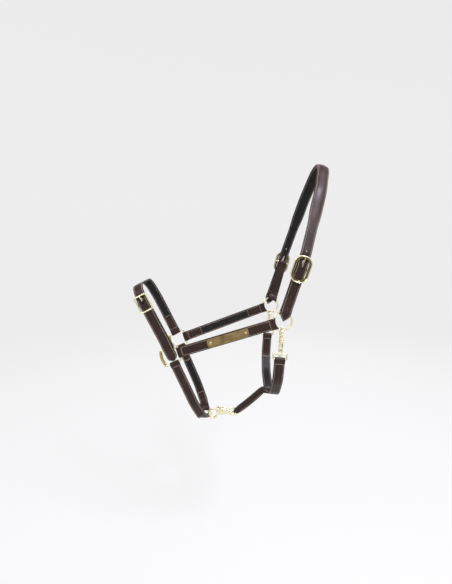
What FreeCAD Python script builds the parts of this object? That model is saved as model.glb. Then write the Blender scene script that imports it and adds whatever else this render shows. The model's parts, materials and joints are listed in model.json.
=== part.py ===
"""Leather headcollar, worn shape, built strap by strap as a parametric document.

Frame: millimetres, +Z up, -X towards the horse's nose, -Y the near (left) side.
The origin is the poll seat, the underside of the padded crown at its highest point.
Nearly every strap is a flat ribbon that bends in one plane, so its side profile is a
sketch in that plane and its width is the pad length.
"""
import math
import os

import FreeCAD
import Part
import Sketcher
from FreeCAD import Vector

SIZES = {
    # leather
    "strap_width": 22.0, "padded_width": 26.0, "chin_width": 20.0, "jaw_width": 14.0,
    "top_ply": 2.2, "lining_ply": 1.4, "padding": 6.4, "chape_ply": 2.0,
    "strap_hole": 4.4, "tongue_slot": 15.0, "nose_slot": 8.5, "tongue_gap": 4.2, "fold_gap": 0.3,
    "bar_gap": 0.1, "cheek_tail": 45.0, "nose_tail": 48.0, "chin_drop": 148.0,
    "loop_wall": 2.4,
    # round wire fittings
    "wire_radius": 2.0, "ring_radius": 19.0, "chin_ring_radius": 16.0, "bow_radius": 3.2,
    "square_length": 35.0, "square_height": 36.0, "square_tilt": 22.0,
    # where the straps run
    "crown_lean": 17.2, "nose_lean": 27.8, "chin_lean": 24.5, "throat_lean": 5.0,
    "cheek_rise": 18.6, "ring_x": -101.7, "ring_z": -328.8, "ring_half": 85.0,
    "square_half": 58.0, "square_x": -334.0, "square_z": -408.0,
    # buckles
    "crown_buckle_half_length": 26.0, "crown_buckle_half_width": 16.5, "crown_bar_half": 13.6,
    "nose_buckle_half_length": 17.5, "nose_buckle_half_width": 13.4, "nose_bar_half": 13.0,
    "frame_offset": 8.0, "fine_wire": 1.6, "tongue_radius": 1.6, "spare_hole": 3.8,
    "tongue_eye": 3.9, "tongue_bore": 2.08, "tongue_past": 3.5,
    # snap hooks, measured from the hook's centre along the snap
    "hook_inner": 7.6, "hook_outer": 12.0, "hook_thick": 6.0, "hook_shift": 4.8,
    "barrel_top": 8.5, "barrel_end": 37.0, "barrel_thick": 10.0, "bolt_radius": 1.92,
    "bolt_bore": 2.0, "bolt_length": 21.0, "bolt_travel": 6.0, "knob_reach": 13.0,
    "stem_radius": 2.0, "boss_radius": 5.0, "boss_bore": 2.08, "eye_bar": 53.0,
    "eye_half": 14.5, "stem_head": 3.4, "knob_neck": 1.6, "knob_cap": 2.6,
    "spring_radius": 1.35, "spring_wire": 0.3, "spring_pitch": 1.3,
    # nameplate
    "plate_length": 92.0, "plate_width": 19.0, "plate_thick": 1.2, "rivet_pitch": 78.0,
    "rivet_radius": 2.6, "rivet_head": 1.0, "rivet_shank": 1.2, "rivet_hole": 1.3,
    "rivet_clench": 0.5, "plate_middle": 111.0, "plate_corner": 6.0,
}

doc = FreeCAD.newDocument("Headcollar")
sheet = doc.addObject("Spreadsheet::Sheet", "Sizes")
for row, (alias, value) in enumerate(SIZES.items(), start=1):
    sheet.set(f"A{row}", alias)
    sheet.set(f"B{row}", str(value))
    sheet.setAlias(f"B{row}", alias)
doc.recompute()
V = {alias: float(getattr(sheet, alias)) for alias in SIZES}
parts = []


# ---------------------------------------------------------------- flat geometry
def turned(x, y, degrees):
    a = math.radians(degrees)
    return x * math.cos(a) - y * math.sin(a), x * math.sin(a) + y * math.cos(a)


def offset_path(points, distance):
    """Moves an open path of (x, y, corner radius) sideways, to its left when positive."""
    lines = []
    for (x0, y0, _), (x1, y1, _) in zip(points, points[1:]):
        length = math.hypot(x1 - x0, y1 - y0)
        dx, dy = (x1 - x0) / length, (y1 - y0) / length
        lines.append((x0 - dy * distance, y0 + dx * distance, dx, dy, length))
    moved = [(lines[0][0], lines[0][1], 0.0)]
    for (ax, ay, adx, ady, _), (bx, by, bdx, bdy, _), corner in zip(lines, lines[1:], points[1:]):
        turn = adx * bdy - ady * bdx
        if abs(turn) < 1e-9:
            moved.append((bx, by, 0.0))
            continue
        step = ((bx - ax) * bdy - (by - ay) * bdx) / turn
        radius = corner[2] - distance if turn > 0 else corner[2] + distance
        moved.append((ax + adx * step, ay + ady * step, max(radius, 0.05) if corner[2] else 0.0))
    x, y, dx, dy, length = lines[-1]
    moved.append((x + dx * length, y + dy * length, 0.0))
    return moved


def rounded_loop(points):
    """Closed outline of straight lines and tangent corner arcs."""
    count = len(points)
    corners = []
    for i, (x, y, radius) in enumerate(points):
        before = Vector(points[i - 1][0] - x, points[i - 1][1] - y, 0)
        after = Vector(points[(i + 1) % count][0] - x, points[(i + 1) % count][1] - y, 0)
        here = Vector(x, y, 0)
        before.normalize()
        after.normalize()
        half = before.getAngle(after) / 2
        if radius <= 0 or half > math.pi / 2 - 1e-4:
            corners.append((here, None, here))
            continue
        reach = radius / math.tan(half)
        middle = (before + after).normalize()
        top = here + middle * (radius / math.sin(half) - radius)
        corners.append((here + before * reach, top, here + after * reach))
    edges = []
    for i, (start, top, end) in enumerate(corners):
        if top is not None:
            edges.append(Part.Arc(start, top, end))
        following = corners[(i + 1) % count][0]
        if end.distanceToPoint(following) > 1e-6:
            edges.append(Part.LineSegment(end, following))
    return edges


def ribbon(points, low, high):
    """Outline of one ply: everything between two distances to the left of a path."""
    return rounded_loop(offset_path(points, high) + offset_path(points, low)[::-1])


def circle(x, y, radius):
    return [Part.Circle(Vector(x, y, 0), Vector(0, 0, 1), radius)]


def capsule(x0, y0, x1, y1, radius):
    """Outline of a slot from one centre to another."""
    length = math.hypot(x1 - x0, y1 - y0)
    ux, uy = (x1 - x0) / length, (y1 - y0) / length
    nx, ny = -uy * radius, ux * radius
    a, b = Vector(x0 + nx, y0 + ny, 0), Vector(x1 + nx, y1 + ny, 0)
    c, d = Vector(x1 - nx, y1 - ny, 0), Vector(x0 - nx, y0 - ny, 0)
    far = Vector(x1 + ux * radius, y1 + uy * radius, 0)
    near = Vector(x0 - ux * radius, y0 - uy * radius, 0)
    return [Part.LineSegment(a, b), Part.Arc(b, far, c), Part.LineSegment(c, d), Part.Arc(d, near, a)]


def box_loop(half_length, half_width, radius, middle=0.0):
    """Outline of a rectangle with rounded corners."""
    start, end = middle - half_length, middle + half_length
    return rounded_loop([(start, -half_width, radius), (end, -half_width, radius),
                         (end, half_width, radius), (start, half_width, radius)])


# ---------------------------------------------------------------- features
def plane(origin, along, up):
    """Placement whose sketch plane is spanned by along (its x) and up (its y)."""
    along, up = Vector(*along).normalize(), Vector(*up).normalize()
    across = along.cross(up)
    matrix = FreeCAD.Matrix(along.x, up.x, across.x, origin[0], along.y, up.y, across.y, origin[1],
                            along.z, up.z, across.z, origin[2], 0, 0, 0, 1)
    return FreeCAD.Placement(matrix)


def leaning(x, z, degrees):
    """Plane through (x, z) that holds the Y axis and leans back by an angle from upright."""
    a = math.radians(degrees)
    return plane((x, 0, z), (0, 1, 0), (math.sin(a), 0, math.cos(a)))


class Piece:
    """One sub-part: a PartDesign body with sketches on its own base planes."""

    def __init__(self, label, place):
        self.body = doc.addObject("PartDesign::Body", label)
        self.body.Label = label
        self.body.Placement = place
        parts.append(self.body)

    def sketch(self, loops, role="XY_Plane", lift=0.0):
        sketch = self.body.newObject("Sketcher::SketchObject", "Profile")
        base = next(f for f in self.body.Origin.OriginFeatures if f.Role == role)
        sketch.AttachmentSupport = [(base, "")]
        sketch.MapMode = "FlatFace"
        sketch.AttachmentOffset = FreeCAD.Placement(Vector(0, 0, lift), FreeCAD.Rotation())
        for loop in loops:
            first = sketch.GeometryCount
            sketch.addGeometry(loop, False)
            count = len(loop)
            for i in range(count if count > 1 else 0):
                one, other = first + i, first + (i + 1) % count
                for end, start in ((1, 1), (1, 2), (2, 1), (2, 2)):
                    if sketch.getPoint(one, end).distanceToPoint(sketch.getPoint(other, start)) < 1e-6:
                        sketch.addConstraint(Sketcher.Constraint("Coincident", one, end, other, start))
                        break
        return sketch

    def pad(self, loops, length, role="XY_Plane", middle=True, lift=0.0, reverse=False):
        pad = self.body.newObject("PartDesign::Pad", "Pad")
        pad.Profile = self.sketch(loops, role, lift)
        pad.setExpression("Length", length)
        pad.Midplane = middle
        pad.Reversed = reverse
        return pad

    def pocket(self, loops, length, role="XY_Plane", middle=True, lift=0.0, reverse=False):
        pocket = self.body.newObject("PartDesign::Pocket", "Pocket")
        pocket.Profile = self.sketch(loops, role, lift)
        pocket.setExpression("Length", length)
        pocket.Midplane = middle
        pocket.Reversed = reverse
        return pocket


def torus(label, radius_cell, wire_cell, place):
    ring = doc.addObject("Part::Torus", label)
    ring.setExpression("Radius1", radius_cell)
    ring.setExpression("Radius2", wire_cell)
    ring.Placement = place
    return ring


def cut(label, base, tool):
    """Takes a tool out of a piece; the result keeps the piece's name."""
    result = doc.addObject("Part::Cut", label)
    base.Label, result.Label = label + "_blank", label
    result.Base, result.Tool = base, tool
    parts[parts.index(base)] = result
    return result


def wire_loop(label, points, radius_cell, place, extras=()):
    """Closed round-wire frame swept along a rounded outline, with straight wires added."""
    spine = doc.addObject("Sketcher::SketchObject", label + "_spine")
    spine.addGeometry(rounded_loop(points), False)
    spine.Placement = place
    start = rounded_loop(points)[0]
    at, heading = start.value(start.FirstParameter), start.tangent(start.FirstParameter)[0]
    section = doc.addObject("Part::Circle", label + "_section")
    section.setExpression("Radius", radius_cell)
    section.Placement = place.multiply(FreeCAD.Placement(at, FreeCAD.Rotation(Vector(0, 0, 1), heading)))
    sweep = doc.addObject("Part::Sweep", label)
    sweep.Sections = [section]
    doc.recompute()
    sweep.Spine = (spine, [f"Edge{i + 1}" for i in range(len(spine.Shape.Edges))])
    sweep.Solid = True
    result = sweep
    for number, (start, end, cell) in enumerate(extras):
        start, end = Vector(*start), Vector(*end)
        bar = doc.addObject("Part::Cylinder", f"{label}_bar{number}")
        bar.setExpression("Radius", cell)
        bar.Height = start.distanceToPoint(end)
        turn = FreeCAD.Rotation(Vector(0, 0, 1), end - start)
        bar.Placement = place.multiply(FreeCAD.Placement(start, turn))
        joined = doc.addObject("Part::Fuse", f"{label}_joined{number}")
        joined.Base, joined.Tool = result, bar
        result = joined
    if result is not sweep:
        sweep.Label = label + "_wire"
    result.Label = label
    parts.append(result)
    return result


# ---------------------------------------------------------------- where things are
SIDES = (("near", -1), ("far", 1))
fold_hole = V["wire_radius"] + V["fold_gap"]
fold_outer = fold_hole + V["top_ply"]
bar_hole = V["wire_radius"] + V["bar_gap"]
ring_bow = 3.6  # how far a ring's curve reaches into the fold of a strap round it
crown_plane = leaning(0, 0, V["crown_lean"])
throat_plane = leaning(V["ring_x"], V["ring_z"], V["throat_lean"])
ring_v = -math.hypot(V["ring_x"], V["ring_z"])


def side_path(points, side):
    """Near-side path, or its mirror image for the far side; plies keep their order."""
    return [(x, y, r) for x, y, r in points] if side < 0 else [(-x, y, r) for x, y, r in points]


def plies(points, low, high, side):
    """Ply outline on either side, low and high measured outwards from the horse."""
    path = side_path(points, side)
    return ribbon(path, low, high) if side < 0 else ribbon(path, -high, -low)


def ring_place(side, x, z, half):
    return FreeCAD.Placement(Vector(x, side * half, z), FreeCAD.Rotation(Vector(1, 0, 0), 90))


# Upper rings, upright on each side of the face; every tunnel round one is cut to its curve.
ring_tunnels = {}
for name, side in SIDES:
    place = ring_place(side, V["ring_x"], V["ring_z"], V["ring_half"])
    ring = torus(f"{name}_upper_ring", "Sizes.ring_radius", "Sizes.wire_radius", place)
    parts.append(ring)
    ring_tunnels[name] = lambda place=place: torus(
        "ring_tunnel", "Sizes.ring_radius", "Sizes.wire_radius + Sizes.fold_gap", place)

# ---------------------------------------------------------------- crown
# The chape runs from the ring's top to the buckle's bar; the billet lies over it.
chape_foot = (-V["ring_half"], ring_v + V["ring_radius"])
bar_at = (-98.0, -229.5)
chape_length = math.hypot(bar_at[0] - chape_foot[0], bar_at[1] - chape_foot[1])
chape_up = ((bar_at[0] - chape_foot[0]) / chape_length, (bar_at[1] - chape_foot[1]) / chape_length)


def by_bar(along, outwards):
    """Point in the crown plane by distance along the near chape from the bar, and outwards."""
    return (bar_at[0] + along * chape_up[0] - outwards * chape_up[1],
            bar_at[1] + along * chape_up[1] + outwards * chape_up[0])


poll_rise = V["padding"] + V["lining_ply"]
apex_radius = 45.0
shoulder = (-68.0, -62.0, 110.0)
crown_cover = V["lining_ply"] + V["top_ply"]


def rounded_apex():
    """Corner over the poll whose rounded top stands at the padding's height."""
    height = 50.0
    for _ in range(30):
        half = math.atan2(-shoulder[0], height - shoulder[1])
        height = poll_rise + apex_radius * (1 / math.sin(half) - 1)
    return (0.0, height, apex_radius)


def mirrored(half, middle):
    return half + middle + [(-x, y, r) for x, y, r in reversed(half)]


billet = [(*by_bar(along, out), r) for along, out, r in [
    (-114, 4.8, 0), (-92, 4.8, 8), (-84, 2.2, 8), (-13, 2.2, 8), (-5, 4.5, 8), (5, 4.5, 8),
    (16, 2.0, 12), (32, -0.5, 40)]]
apex = rounded_apex()
crown_path = mirrored(billet + [shoulder], [apex])
padding_foot = -137.0
share = (padding_foot - billet[-1][1]) / (shoulder[1] - billet[-1][1])
pad_start = (billet[-1][0] + share * (shoulder[0] - billet[-1][0]), padding_foot, 0)
padded_path = mirrored([pad_start, shoulder], [apex])

crown = Piece("crown_strap", crown_plane)
crown.pad([ribbon(crown_path, V["lining_ply"], crown_cover)], "Sizes.strap_width")
Piece("crown_padding", crown_plane).pad(
    [ribbon(padded_path, -V["padding"], V["lining_ply"])], "Sizes.padded_width")
Piece("crown_lining", crown_plane).pad(
    [ribbon(padded_path, -poll_rise, -V["padding"])], "Sizes.padded_width")
for name, side in SIDES:
    backing = Piece(f"{name}_crown_billet_lining", crown_plane)
    backing.pad([plies(billet + [pad_start], 0, V["lining_ply"], side)], "Sizes.strap_width")


def strap_frame(base, at, up, side):
    """Plane standing on a strap: x along it, y outwards from the horse."""
    at3 = base.multVec(Vector(-side * at[0], at[1], 0))
    along = base.Rotation.multVec(Vector(-side * up[0], up[1], 0))
    out = base.Rotation.multVec(Vector(side * up[1], up[0], 0))
    return plane(at3, along, out)


def finished(label):
    """The object that stands for a piece now, after any cuts."""
    return next(p for p in parts if p.Label == label)


def cut_from(label, tool):
    return cut(label, finished(label), tool)


crown_frames = {name: strap_frame(crown_plane, bar_at, chape_up, side) for name, side in SIDES}
slot_start = 1.5
punch_depth = 44.0


def punch_holes(labels, frame, spots):
    """Cuts round-ended holes (start, end, width) right through the named plies along a strap."""
    sideways = FreeCAD.Placement(Vector(0, punch_depth / 2, 0), FreeCAD.Rotation(Vector(1, 0, 0), 90))
    for label in labels:
        punches = []
        for start, end, width in spots:
            outline = capsule(start, 0, end, 0, width / 2)
            face = Part.Face(Part.Wire([edge.toShape() for edge in outline]))
            punches.append(doc.addObject("Part::Feature", "punch"))
            punches[-1].Shape = face.extrude(Vector(0, 0, punch_depth))
            punches[-1].Placement = frame.multiply(sideways)
        if len(punches) == 1:
            cut_from(label, punches[0])
            continue
        tool = doc.addObject("Part::MultiFuse", "punches")
        tool.Shapes = punches
        cut_from(label, tool)


crown_holes = [(slot_start, slot_start + V["tongue_slot"], V["strap_hole"])]
crown_holes += [(at, at + 0.01, V["spare_hole"]) for at in (37.0, 74.0)]
for name, side in SIDES:
    labels = ("crown_strap", f"{name}_crown_billet_lining")
    punch_holes(labels, crown_frames[name], crown_holes)


def chape(label, frame, length, foot_loop):
    """Strap folded round the buckle's bar above and a fitting below, with a slot for the tongue."""
    piece = Piece(label, frame)
    piece.pad([ribbon([(-length, 0, 0), (0, 0, 0)], -V["chape_ply"], V["chape_ply"])], "Sizes.strap_width")
    piece.pad([circle(0, 0, bar_hole + V["chape_ply"])], "Sizes.strap_width")
    piece.pad([foot_loop], "Sizes.strap_width")
    piece.pocket([circle(0, 0, bar_hole)], "Sizes.strap_width")
    piece.pocket([box_loop(6.0, 6.0, 0)], "Sizes.tongue_gap")
    return piece


chape_fold = fold_hole + V["chape_ply"]
for name, side in SIDES:
    foot_loop = capsule(-chape_length, 0, -chape_length - ring_bow, 0, chape_fold)
    chape(f"{name}_crown_chape", crown_frames[name], chape_length, foot_loop)
    cut_from(f"{name}_crown_chape", ring_tunnels[name]())


def buckle(prefix, frame, kind, corner, wire_cell):
    """Buckle frame with a sunk centre bar, and the tongue that turns on that bar."""
    half_l, half_w = V[f"{kind}_buckle_half_length"], V[f"{kind}_buckle_half_width"]
    lift = V["frame_offset"]
    flat = frame.multiply(FreeCAD.Placement(Vector(0, lift, 0), FreeCAD.Rotation(Vector(1, 0, 0), -90)))
    outline = [(-half_l, -half_w, corner), (half_l, -half_w, corner), (half_l, half_w, corner),
               (-half_l, half_w, corner)]
    sunk = V[f"{kind}_bar_half"]
    wire_loop(f"{prefix}_buckle_frame", outline, wire_cell, flat, [
        ((0, -sunk, -lift), (0, sunk, -lift), "Sizes.wire_radius"),
        ((0, -sunk, -lift), (0, -half_w, 0), wire_cell),
        ((0, sunk, -lift), (0, half_w, 0), wire_cell)])
    clear = V["wire_radius"] + V["tongue_radius"] + 0.1
    rise = math.degrees(math.atan2(lift, half_l) + math.asin(clear / math.hypot(lift, half_l)))
    tongue = Piece(f"{prefix}_buckle_tongue", frame.multiply(
        FreeCAD.Placement(Vector(), FreeCAD.Rotation(Vector(0, 0, 1), rise))))
    reach = math.hypot(lift, half_l) + V["tongue_past"]
    grip = V["tongue_radius"]
    tongue.pad([rounded_loop([(2.6, -grip, 0), (reach, -grip, grip * 0.95), (reach, grip, grip * 0.95),
                              (2.6, grip, 0)])], "Sizes.tongue_radius * 2")
    tongue.pad([circle(0, 0, V["tongue_eye"])], "Sizes.tongue_radius * 2")
    tongue.pocket([circle(0, 0, V["tongue_bore"])], "Sizes.strap_width")


for name, side in SIDES:
    buckle(f"{name}_crown", crown_frames[name], "crown", 15.0, "Sizes.wire_radius")

# ---------------------------------------------------------------- lower squares
nose_up = (-math.sin(math.radians(V["nose_lean"])), math.cos(math.radians(V["nose_lean"])))
chin_up = (-math.sin(math.radians(V["chin_lean"])), math.cos(math.radians(V["chin_lean"])))
cheek_dir = (math.cos(math.radians(V["cheek_rise"])), math.sin(math.radians(V["cheek_rise"])))
square_half_a, square_half_b = V["square_length"] / 2, V["square_height"] / 2
front_bulge, bow_bulge = 1.5, 4.5
ax, az = turned(1, 0, V["square_tilt"])
bx, bz = turned(0, -1, V["square_tilt"])
square = (V["square_x"], V["square_z"])


def on_square(along, down):
    return (square[0] + along * ax + down * bx, square[1] + along * az + down * bz)


def meet(p, d, q, e):
    """Where the line through p along d meets the line through q along e."""
    det = d[0] * e[1] - d[1] * e[0]
    step = ((q[0] - p[0]) * e[1] - (q[1] - p[1]) * e[0]) / det
    return (p[0] + d[0] * step, p[1] + d[1] * step)


top_mid, foot_mid = on_square(0, -square_half_b), on_square(0, square_half_b)
rear_mid = on_square(square_half_a, 0)
front_mid = on_square(-square_half_a - front_bulge, 0)
across_nose, across_chin = (nose_up[1], -nose_up[0]), (chin_up[1], -chin_up[0])
across_cheek = (-cheek_dir[1], cheek_dir[0])
corners = [meet(top_mid, across_nose, front_mid, (bx, bz)),
           meet(foot_mid, across_chin, front_mid, (bx, bz)),
           meet(foot_mid, across_chin, rear_mid, across_cheek),
           meet(top_mid, across_nose, rear_mid, across_cheek)]
bow = on_square(-square_half_a - bow_bulge, 0)
outline = [(*corners[0], 5.0), (*bow, 30.0), (*corners[1], 5.0), (*corners[2], 4.0), (*corners[3], 4.0)]
bow_mid = Vector(*bow, 0)
bow_ends = [Vector(*corner, 0) + (bow_mid - Vector(*corner, 0)) * 0.3 for corner in corners[:2]]
thick = [(tuple(bow_ends[0]), tuple(bow_mid), "Sizes.bow_radius"),
         (tuple(bow_mid), tuple(bow_ends[1]), "Sizes.bow_radius")]
for name, side in SIDES:
    upright = plane((0, side * V["square_half"], 0), (1, 0, 0), (0, 0, 1))
    wire_loop(f"{name}_lower_square", outline, "Sizes.wire_radius", upright, thick)

# ---------------------------------------------------------------- cheeks
cheek_start = (rear_mid[0], V["square_half"], rear_mid[1])
ring_end = (V["ring_x"] - V["ring_radius"] * cheek_dir[0], V["ring_half"],
            V["ring_z"] - V["ring_radius"] * cheek_dir[1])
cheek_vector = [b - a for a, b in zip(cheek_start, ring_end)]
cheek_length = math.sqrt(sum(c * c for c in cheek_vector))
tail = V["cheek_tail"]
rivet_spots = [V["plate_middle"] + end * V["rivet_pitch"] / 2 for end in (-1, 1)]


def rivet_holes(piece):
    for at in rivet_spots:
        piece.pocket([circle(at, 0, V["rivet_hole"])], "Sizes.strap_width", role="XZ_Plane")


def cylinder(label, place, spot, radius_cell, height):
    """Cylinder that stands outwards of a strap's plane."""
    stud = doc.addObject("Part::Cylinder", label)
    stud.setExpression("Radius", radius_cell)
    stud.setExpression("Height", height)
    turn = FreeCAD.Rotation(Vector(1, 0, 0), -90)
    stud.Placement = place.multiply(FreeCAD.Placement(Vector(*spot), turn))
    return stud


def nameplate(place):
    """Blank plate on the near cheek strap, and the pair of rivets that hold it."""
    face, inner = V["top_ply"], -V["lining_ply"]
    plate = Piece("nameplate", place)
    outline = box_loop(V["plate_length"] / 2, V["plate_width"] / 2, V["plate_corner"], V["plate_middle"])
    plate.pad([outline], "Sizes.plate_thick", role="XZ_Plane", middle=False, lift=-face, reverse=True)
    rivet_holes(plate)
    rivets = doc.addObject("Part::Compound", "nameplate_rivets")
    pair = []
    for at in rivet_spots:
        shank = cylinder("rivet_shank", place, (at, inner, 0), "Sizes.rivet_shank",
                         "Sizes.top_ply + Sizes.plate_thick + Sizes.lining_ply + Sizes.rivet_clench")
        head = cylinder("rivet_head", place, (at, face + V["plate_thick"], 0), "Sizes.rivet_radius",
                        "Sizes.rivet_head")
        rivet = doc.addObject("Part::Fuse", "rivet")
        rivet.Base, rivet.Tool = shank, head
        pair.append(rivet)
    rivets.Links = pair
    rivets.Label = "nameplate_rivets"
    parts.append(rivets)


for name, side in SIDES:
    along = Vector(cheek_vector[0], side * cheek_vector[1], cheek_vector[2]).normalize()
    width_way = Vector(across_cheek[0], 0, across_cheek[1])
    out = along.cross(width_way)
    if out.y * side < 0:
        out = out * -1
    place = plane((cheek_start[0], side * cheek_start[1], cheek_start[2]), tuple(along), tuple(out))
    cheek = Piece(f"{name}_cheek_strap", place)
    cheek.pad([ribbon([(0, 0, 0), (cheek_length, 0, 0)], 0, V["top_ply"])], "Sizes.strap_width")
    for start, end in ((0, tail), (cheek_length - tail, cheek_length)):
        cheek.pad([ribbon([(start, 0, 0), (end, 0, 0)], -V["lining_ply"], 0)], "Sizes.strap_width")
    cheek.pad([circle(0, 0, fold_outer)], "Sizes.strap_width")
    cheek.pad([capsule(cheek_length, 0, cheek_length + ring_bow, 0, fold_outer)], "Sizes.strap_width")
    cheek.pocket([circle(0, 0, fold_hole)], "Sizes.strap_width")
    backing = Piece(f"{name}_cheek_lining", place)
    backing.pad([ribbon([(tail, 0, 0), (cheek_length - tail, 0, 0)], -V["lining_ply"], 0)],
                "Sizes.strap_width")
    if name == "near":
        rivet_holes(cheek)
        rivet_holes(backing)
        nameplate(place)
    cut_from(f"{name}_cheek_strap", ring_tunnels[name]())

# ---------------------------------------------------------------- noseband
nose_plane = leaning(top_mid[0], top_mid[1], -V["nose_lean"])
nose_bar = (-61.0, 109.0)
nose_foot = (-V["square_half"], 0.0)
nose_chape_length = math.hypot(nose_bar[0] - nose_foot[0], nose_bar[1])
nose_chape_up = ((nose_bar[0] - nose_foot[0]) / nose_chape_length, nose_bar[1] / nose_chape_length)
nose_frame = strap_frame(nose_plane, nose_bar, nose_chape_up, -1)


def by_nose_bar(along, outwards):
    return (nose_bar[0] + along * nose_chape_up[0] - outwards * nose_chape_up[1],
            nose_bar[1] + along * nose_chape_up[1] + outwards * nose_chape_up[0])


nose_billet = [(*by_nose_bar(along, out), r) for along, out, r in [
    (-138, 4.9, 0), (-102, 4.9, 8), (-94, 2.2, 8), (-13, 2.2, 8), (-5, 4.5, 8), (5, 4.5, 8),
    (14, 1.0, 10)]]
nose_far = [(50.0, 147.0, 27.0), (61.0, 100.0, 70.0), (V["square_half"], 0.0, 0)]
nose_path = nose_billet + [(-50.0, 147.0, 27.0)] + nose_far
slope = (nose_far[1][0] - nose_far[2][0]) / nose_far[1][1]
nose_tail = [(V["square_half"] + slope * V["nose_tail"], V["nose_tail"], 0), nose_far[2]]
noseband = Piece("noseband_strap", nose_plane)
noseband.pad([ribbon(nose_path, V["lining_ply"], crown_cover)], "Sizes.strap_width")
noseband.pad([ribbon(nose_tail, -V["lining_ply"] - 0.4, V["lining_ply"])], "Sizes.strap_width")
noseband.pad([circle(V["square_half"], 0.0, fold_outer)], "Sizes.strap_width")
noseband.pocket([circle(V["square_half"], 0.0, fold_hole)], "Sizes.strap_width")
nose_lining = Piece("noseband_lining", nose_plane)
nose_lining.pad([ribbon(nose_path[:-1] + [nose_tail[0]], 0, V["lining_ply"])], "Sizes.strap_width")
nose_chape = chape("noseband_chape", nose_frame, nose_chape_length,
                   circle(-nose_chape_length, 0, chape_fold))
nose_chape.pocket([circle(-nose_chape_length, 0, fold_hole)], "Sizes.strap_width")
nose_holes = [(slot_start, slot_start + V["nose_slot"], V["strap_hole"])]
punch_holes(("noseband_strap", "noseband_lining"), nose_frame, nose_holes)
buckle("noseband", nose_frame, "nose", 3.0, "Sizes.fine_wire")

# ---------------------------------------------------------------- chin
chin_plane = leaning(foot_mid[0], foot_mid[1], -V["chin_lean"])
chin_drop = V["chin_drop"]
chin_ring_at = (foot_mid[0] - chin_up[0] * chin_drop, foot_mid[1] - chin_up[1] * chin_drop)
chin_place = FreeCAD.Placement(Vector(chin_ring_at[0], 0, chin_ring_at[1]), FreeCAD.Rotation())
parts.append(torus("chin_ring", "Sizes.chin_ring_radius", "Sizes.wire_radius", chin_place))
chin_path = [(-V["chin_ring_radius"], -chin_drop, 0), (-35.0, -chin_drop + 11.5, 20.0),
             (-51.0, -100.0, 60.0), (-V["square_half"], 0, 0)]


def along_run(path, index, share):
    """Point part of the way along one straight run of a path."""
    (x0, y0, _), (x1, y1, _) = path[index], path[index + 1]
    return (x0 + (x1 - x0) * share, y0 + (y1 - y0) * share, 0)


chin_fold_in = V["chin_ring_radius"] - 3.0
chin_turn_in = along_run(chin_path, 1, 0.55)
chin_turn_up = along_run(chin_path, 2, 0.6)
for name, side in SIDES:
    strap = Piece(f"{name}_chin_strap", chin_plane)
    strap.pad([plies(chin_path, 0, V["top_ply"], side)], "Sizes.chin_width")
    strap.pad([plies(chin_path[:2] + [chin_turn_in], -V["lining_ply"], 0, side)], "Sizes.chin_width")
    strap.pad([plies([chin_turn_up, chin_path[3]], -V["lining_ply"], 0, side)], "Sizes.chin_width")
    strap.pad([circle(side * V["square_half"], 0, fold_outer)], "Sizes.chin_width")
    strap.pad([capsule(side * V["chin_ring_radius"], -chin_drop, side * chin_fold_in, -chin_drop, 5.5)],
              "Sizes.chin_width")
    strap.pocket([circle(side * V["square_half"], 0, fold_hole)], "Sizes.strap_width")
    backing = Piece(f"{name}_chin_lining", chin_plane)
    backing.pad([plies([chin_turn_in, chin_path[2], chin_turn_up], -V["lining_ply"], 0, side)],
                "Sizes.chin_width")
    cut_from(f"{name}_chin_strap", torus("ring_tunnel", "Sizes.chin_ring_radius",
                                         "Sizes.wire_radius + Sizes.fold_gap", chin_place))


# ---------------------------------------------------------------- snap hooks
def rod(label, place, start, end, radius_cell):
    """Cylinder from one point to another of a placed frame, its radius bound to the sheet."""
    start, end = Vector(*start), Vector(*end)
    cylinder = doc.addObject("Part::Cylinder", label)
    cylinder.setExpression("Radius", radius_cell)
    cylinder.Height = start.distanceToPoint(end)
    turn = FreeCAD.Rotation(Vector(0, 0, 1), end - start)
    cylinder.Placement = place.multiply(FreeCAD.Placement(start, turn))
    return cylinder


def joined(label, shapes):
    fuse = doc.addObject("Part::MultiFuse", label)
    fuse.Shapes = shapes
    return fuse


def hook_crescent():
    """Open hook seen from the side, from its tip round to where it meets the barrel."""
    inner, outer, shift = V["hook_inner"], V["hook_outer"], V["hook_shift"]
    finish = math.radians(262.0)

    def rim(radius, angle):
        return Vector(-shift + radius * math.cos(angle), radius * math.sin(angle), 0)

    return [Part.Arc(rim(outer, 0), rim(outer, finish / 2), rim(outer, finish)),
            Part.LineSegment(rim(outer, finish), rim(inner, finish)),
            Part.Arc(rim(inner, 0), rim(inner, finish / 2), rim(inner, finish)),
            Part.LineSegment(rim(inner, 0), rim(outer, 0))]


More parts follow.
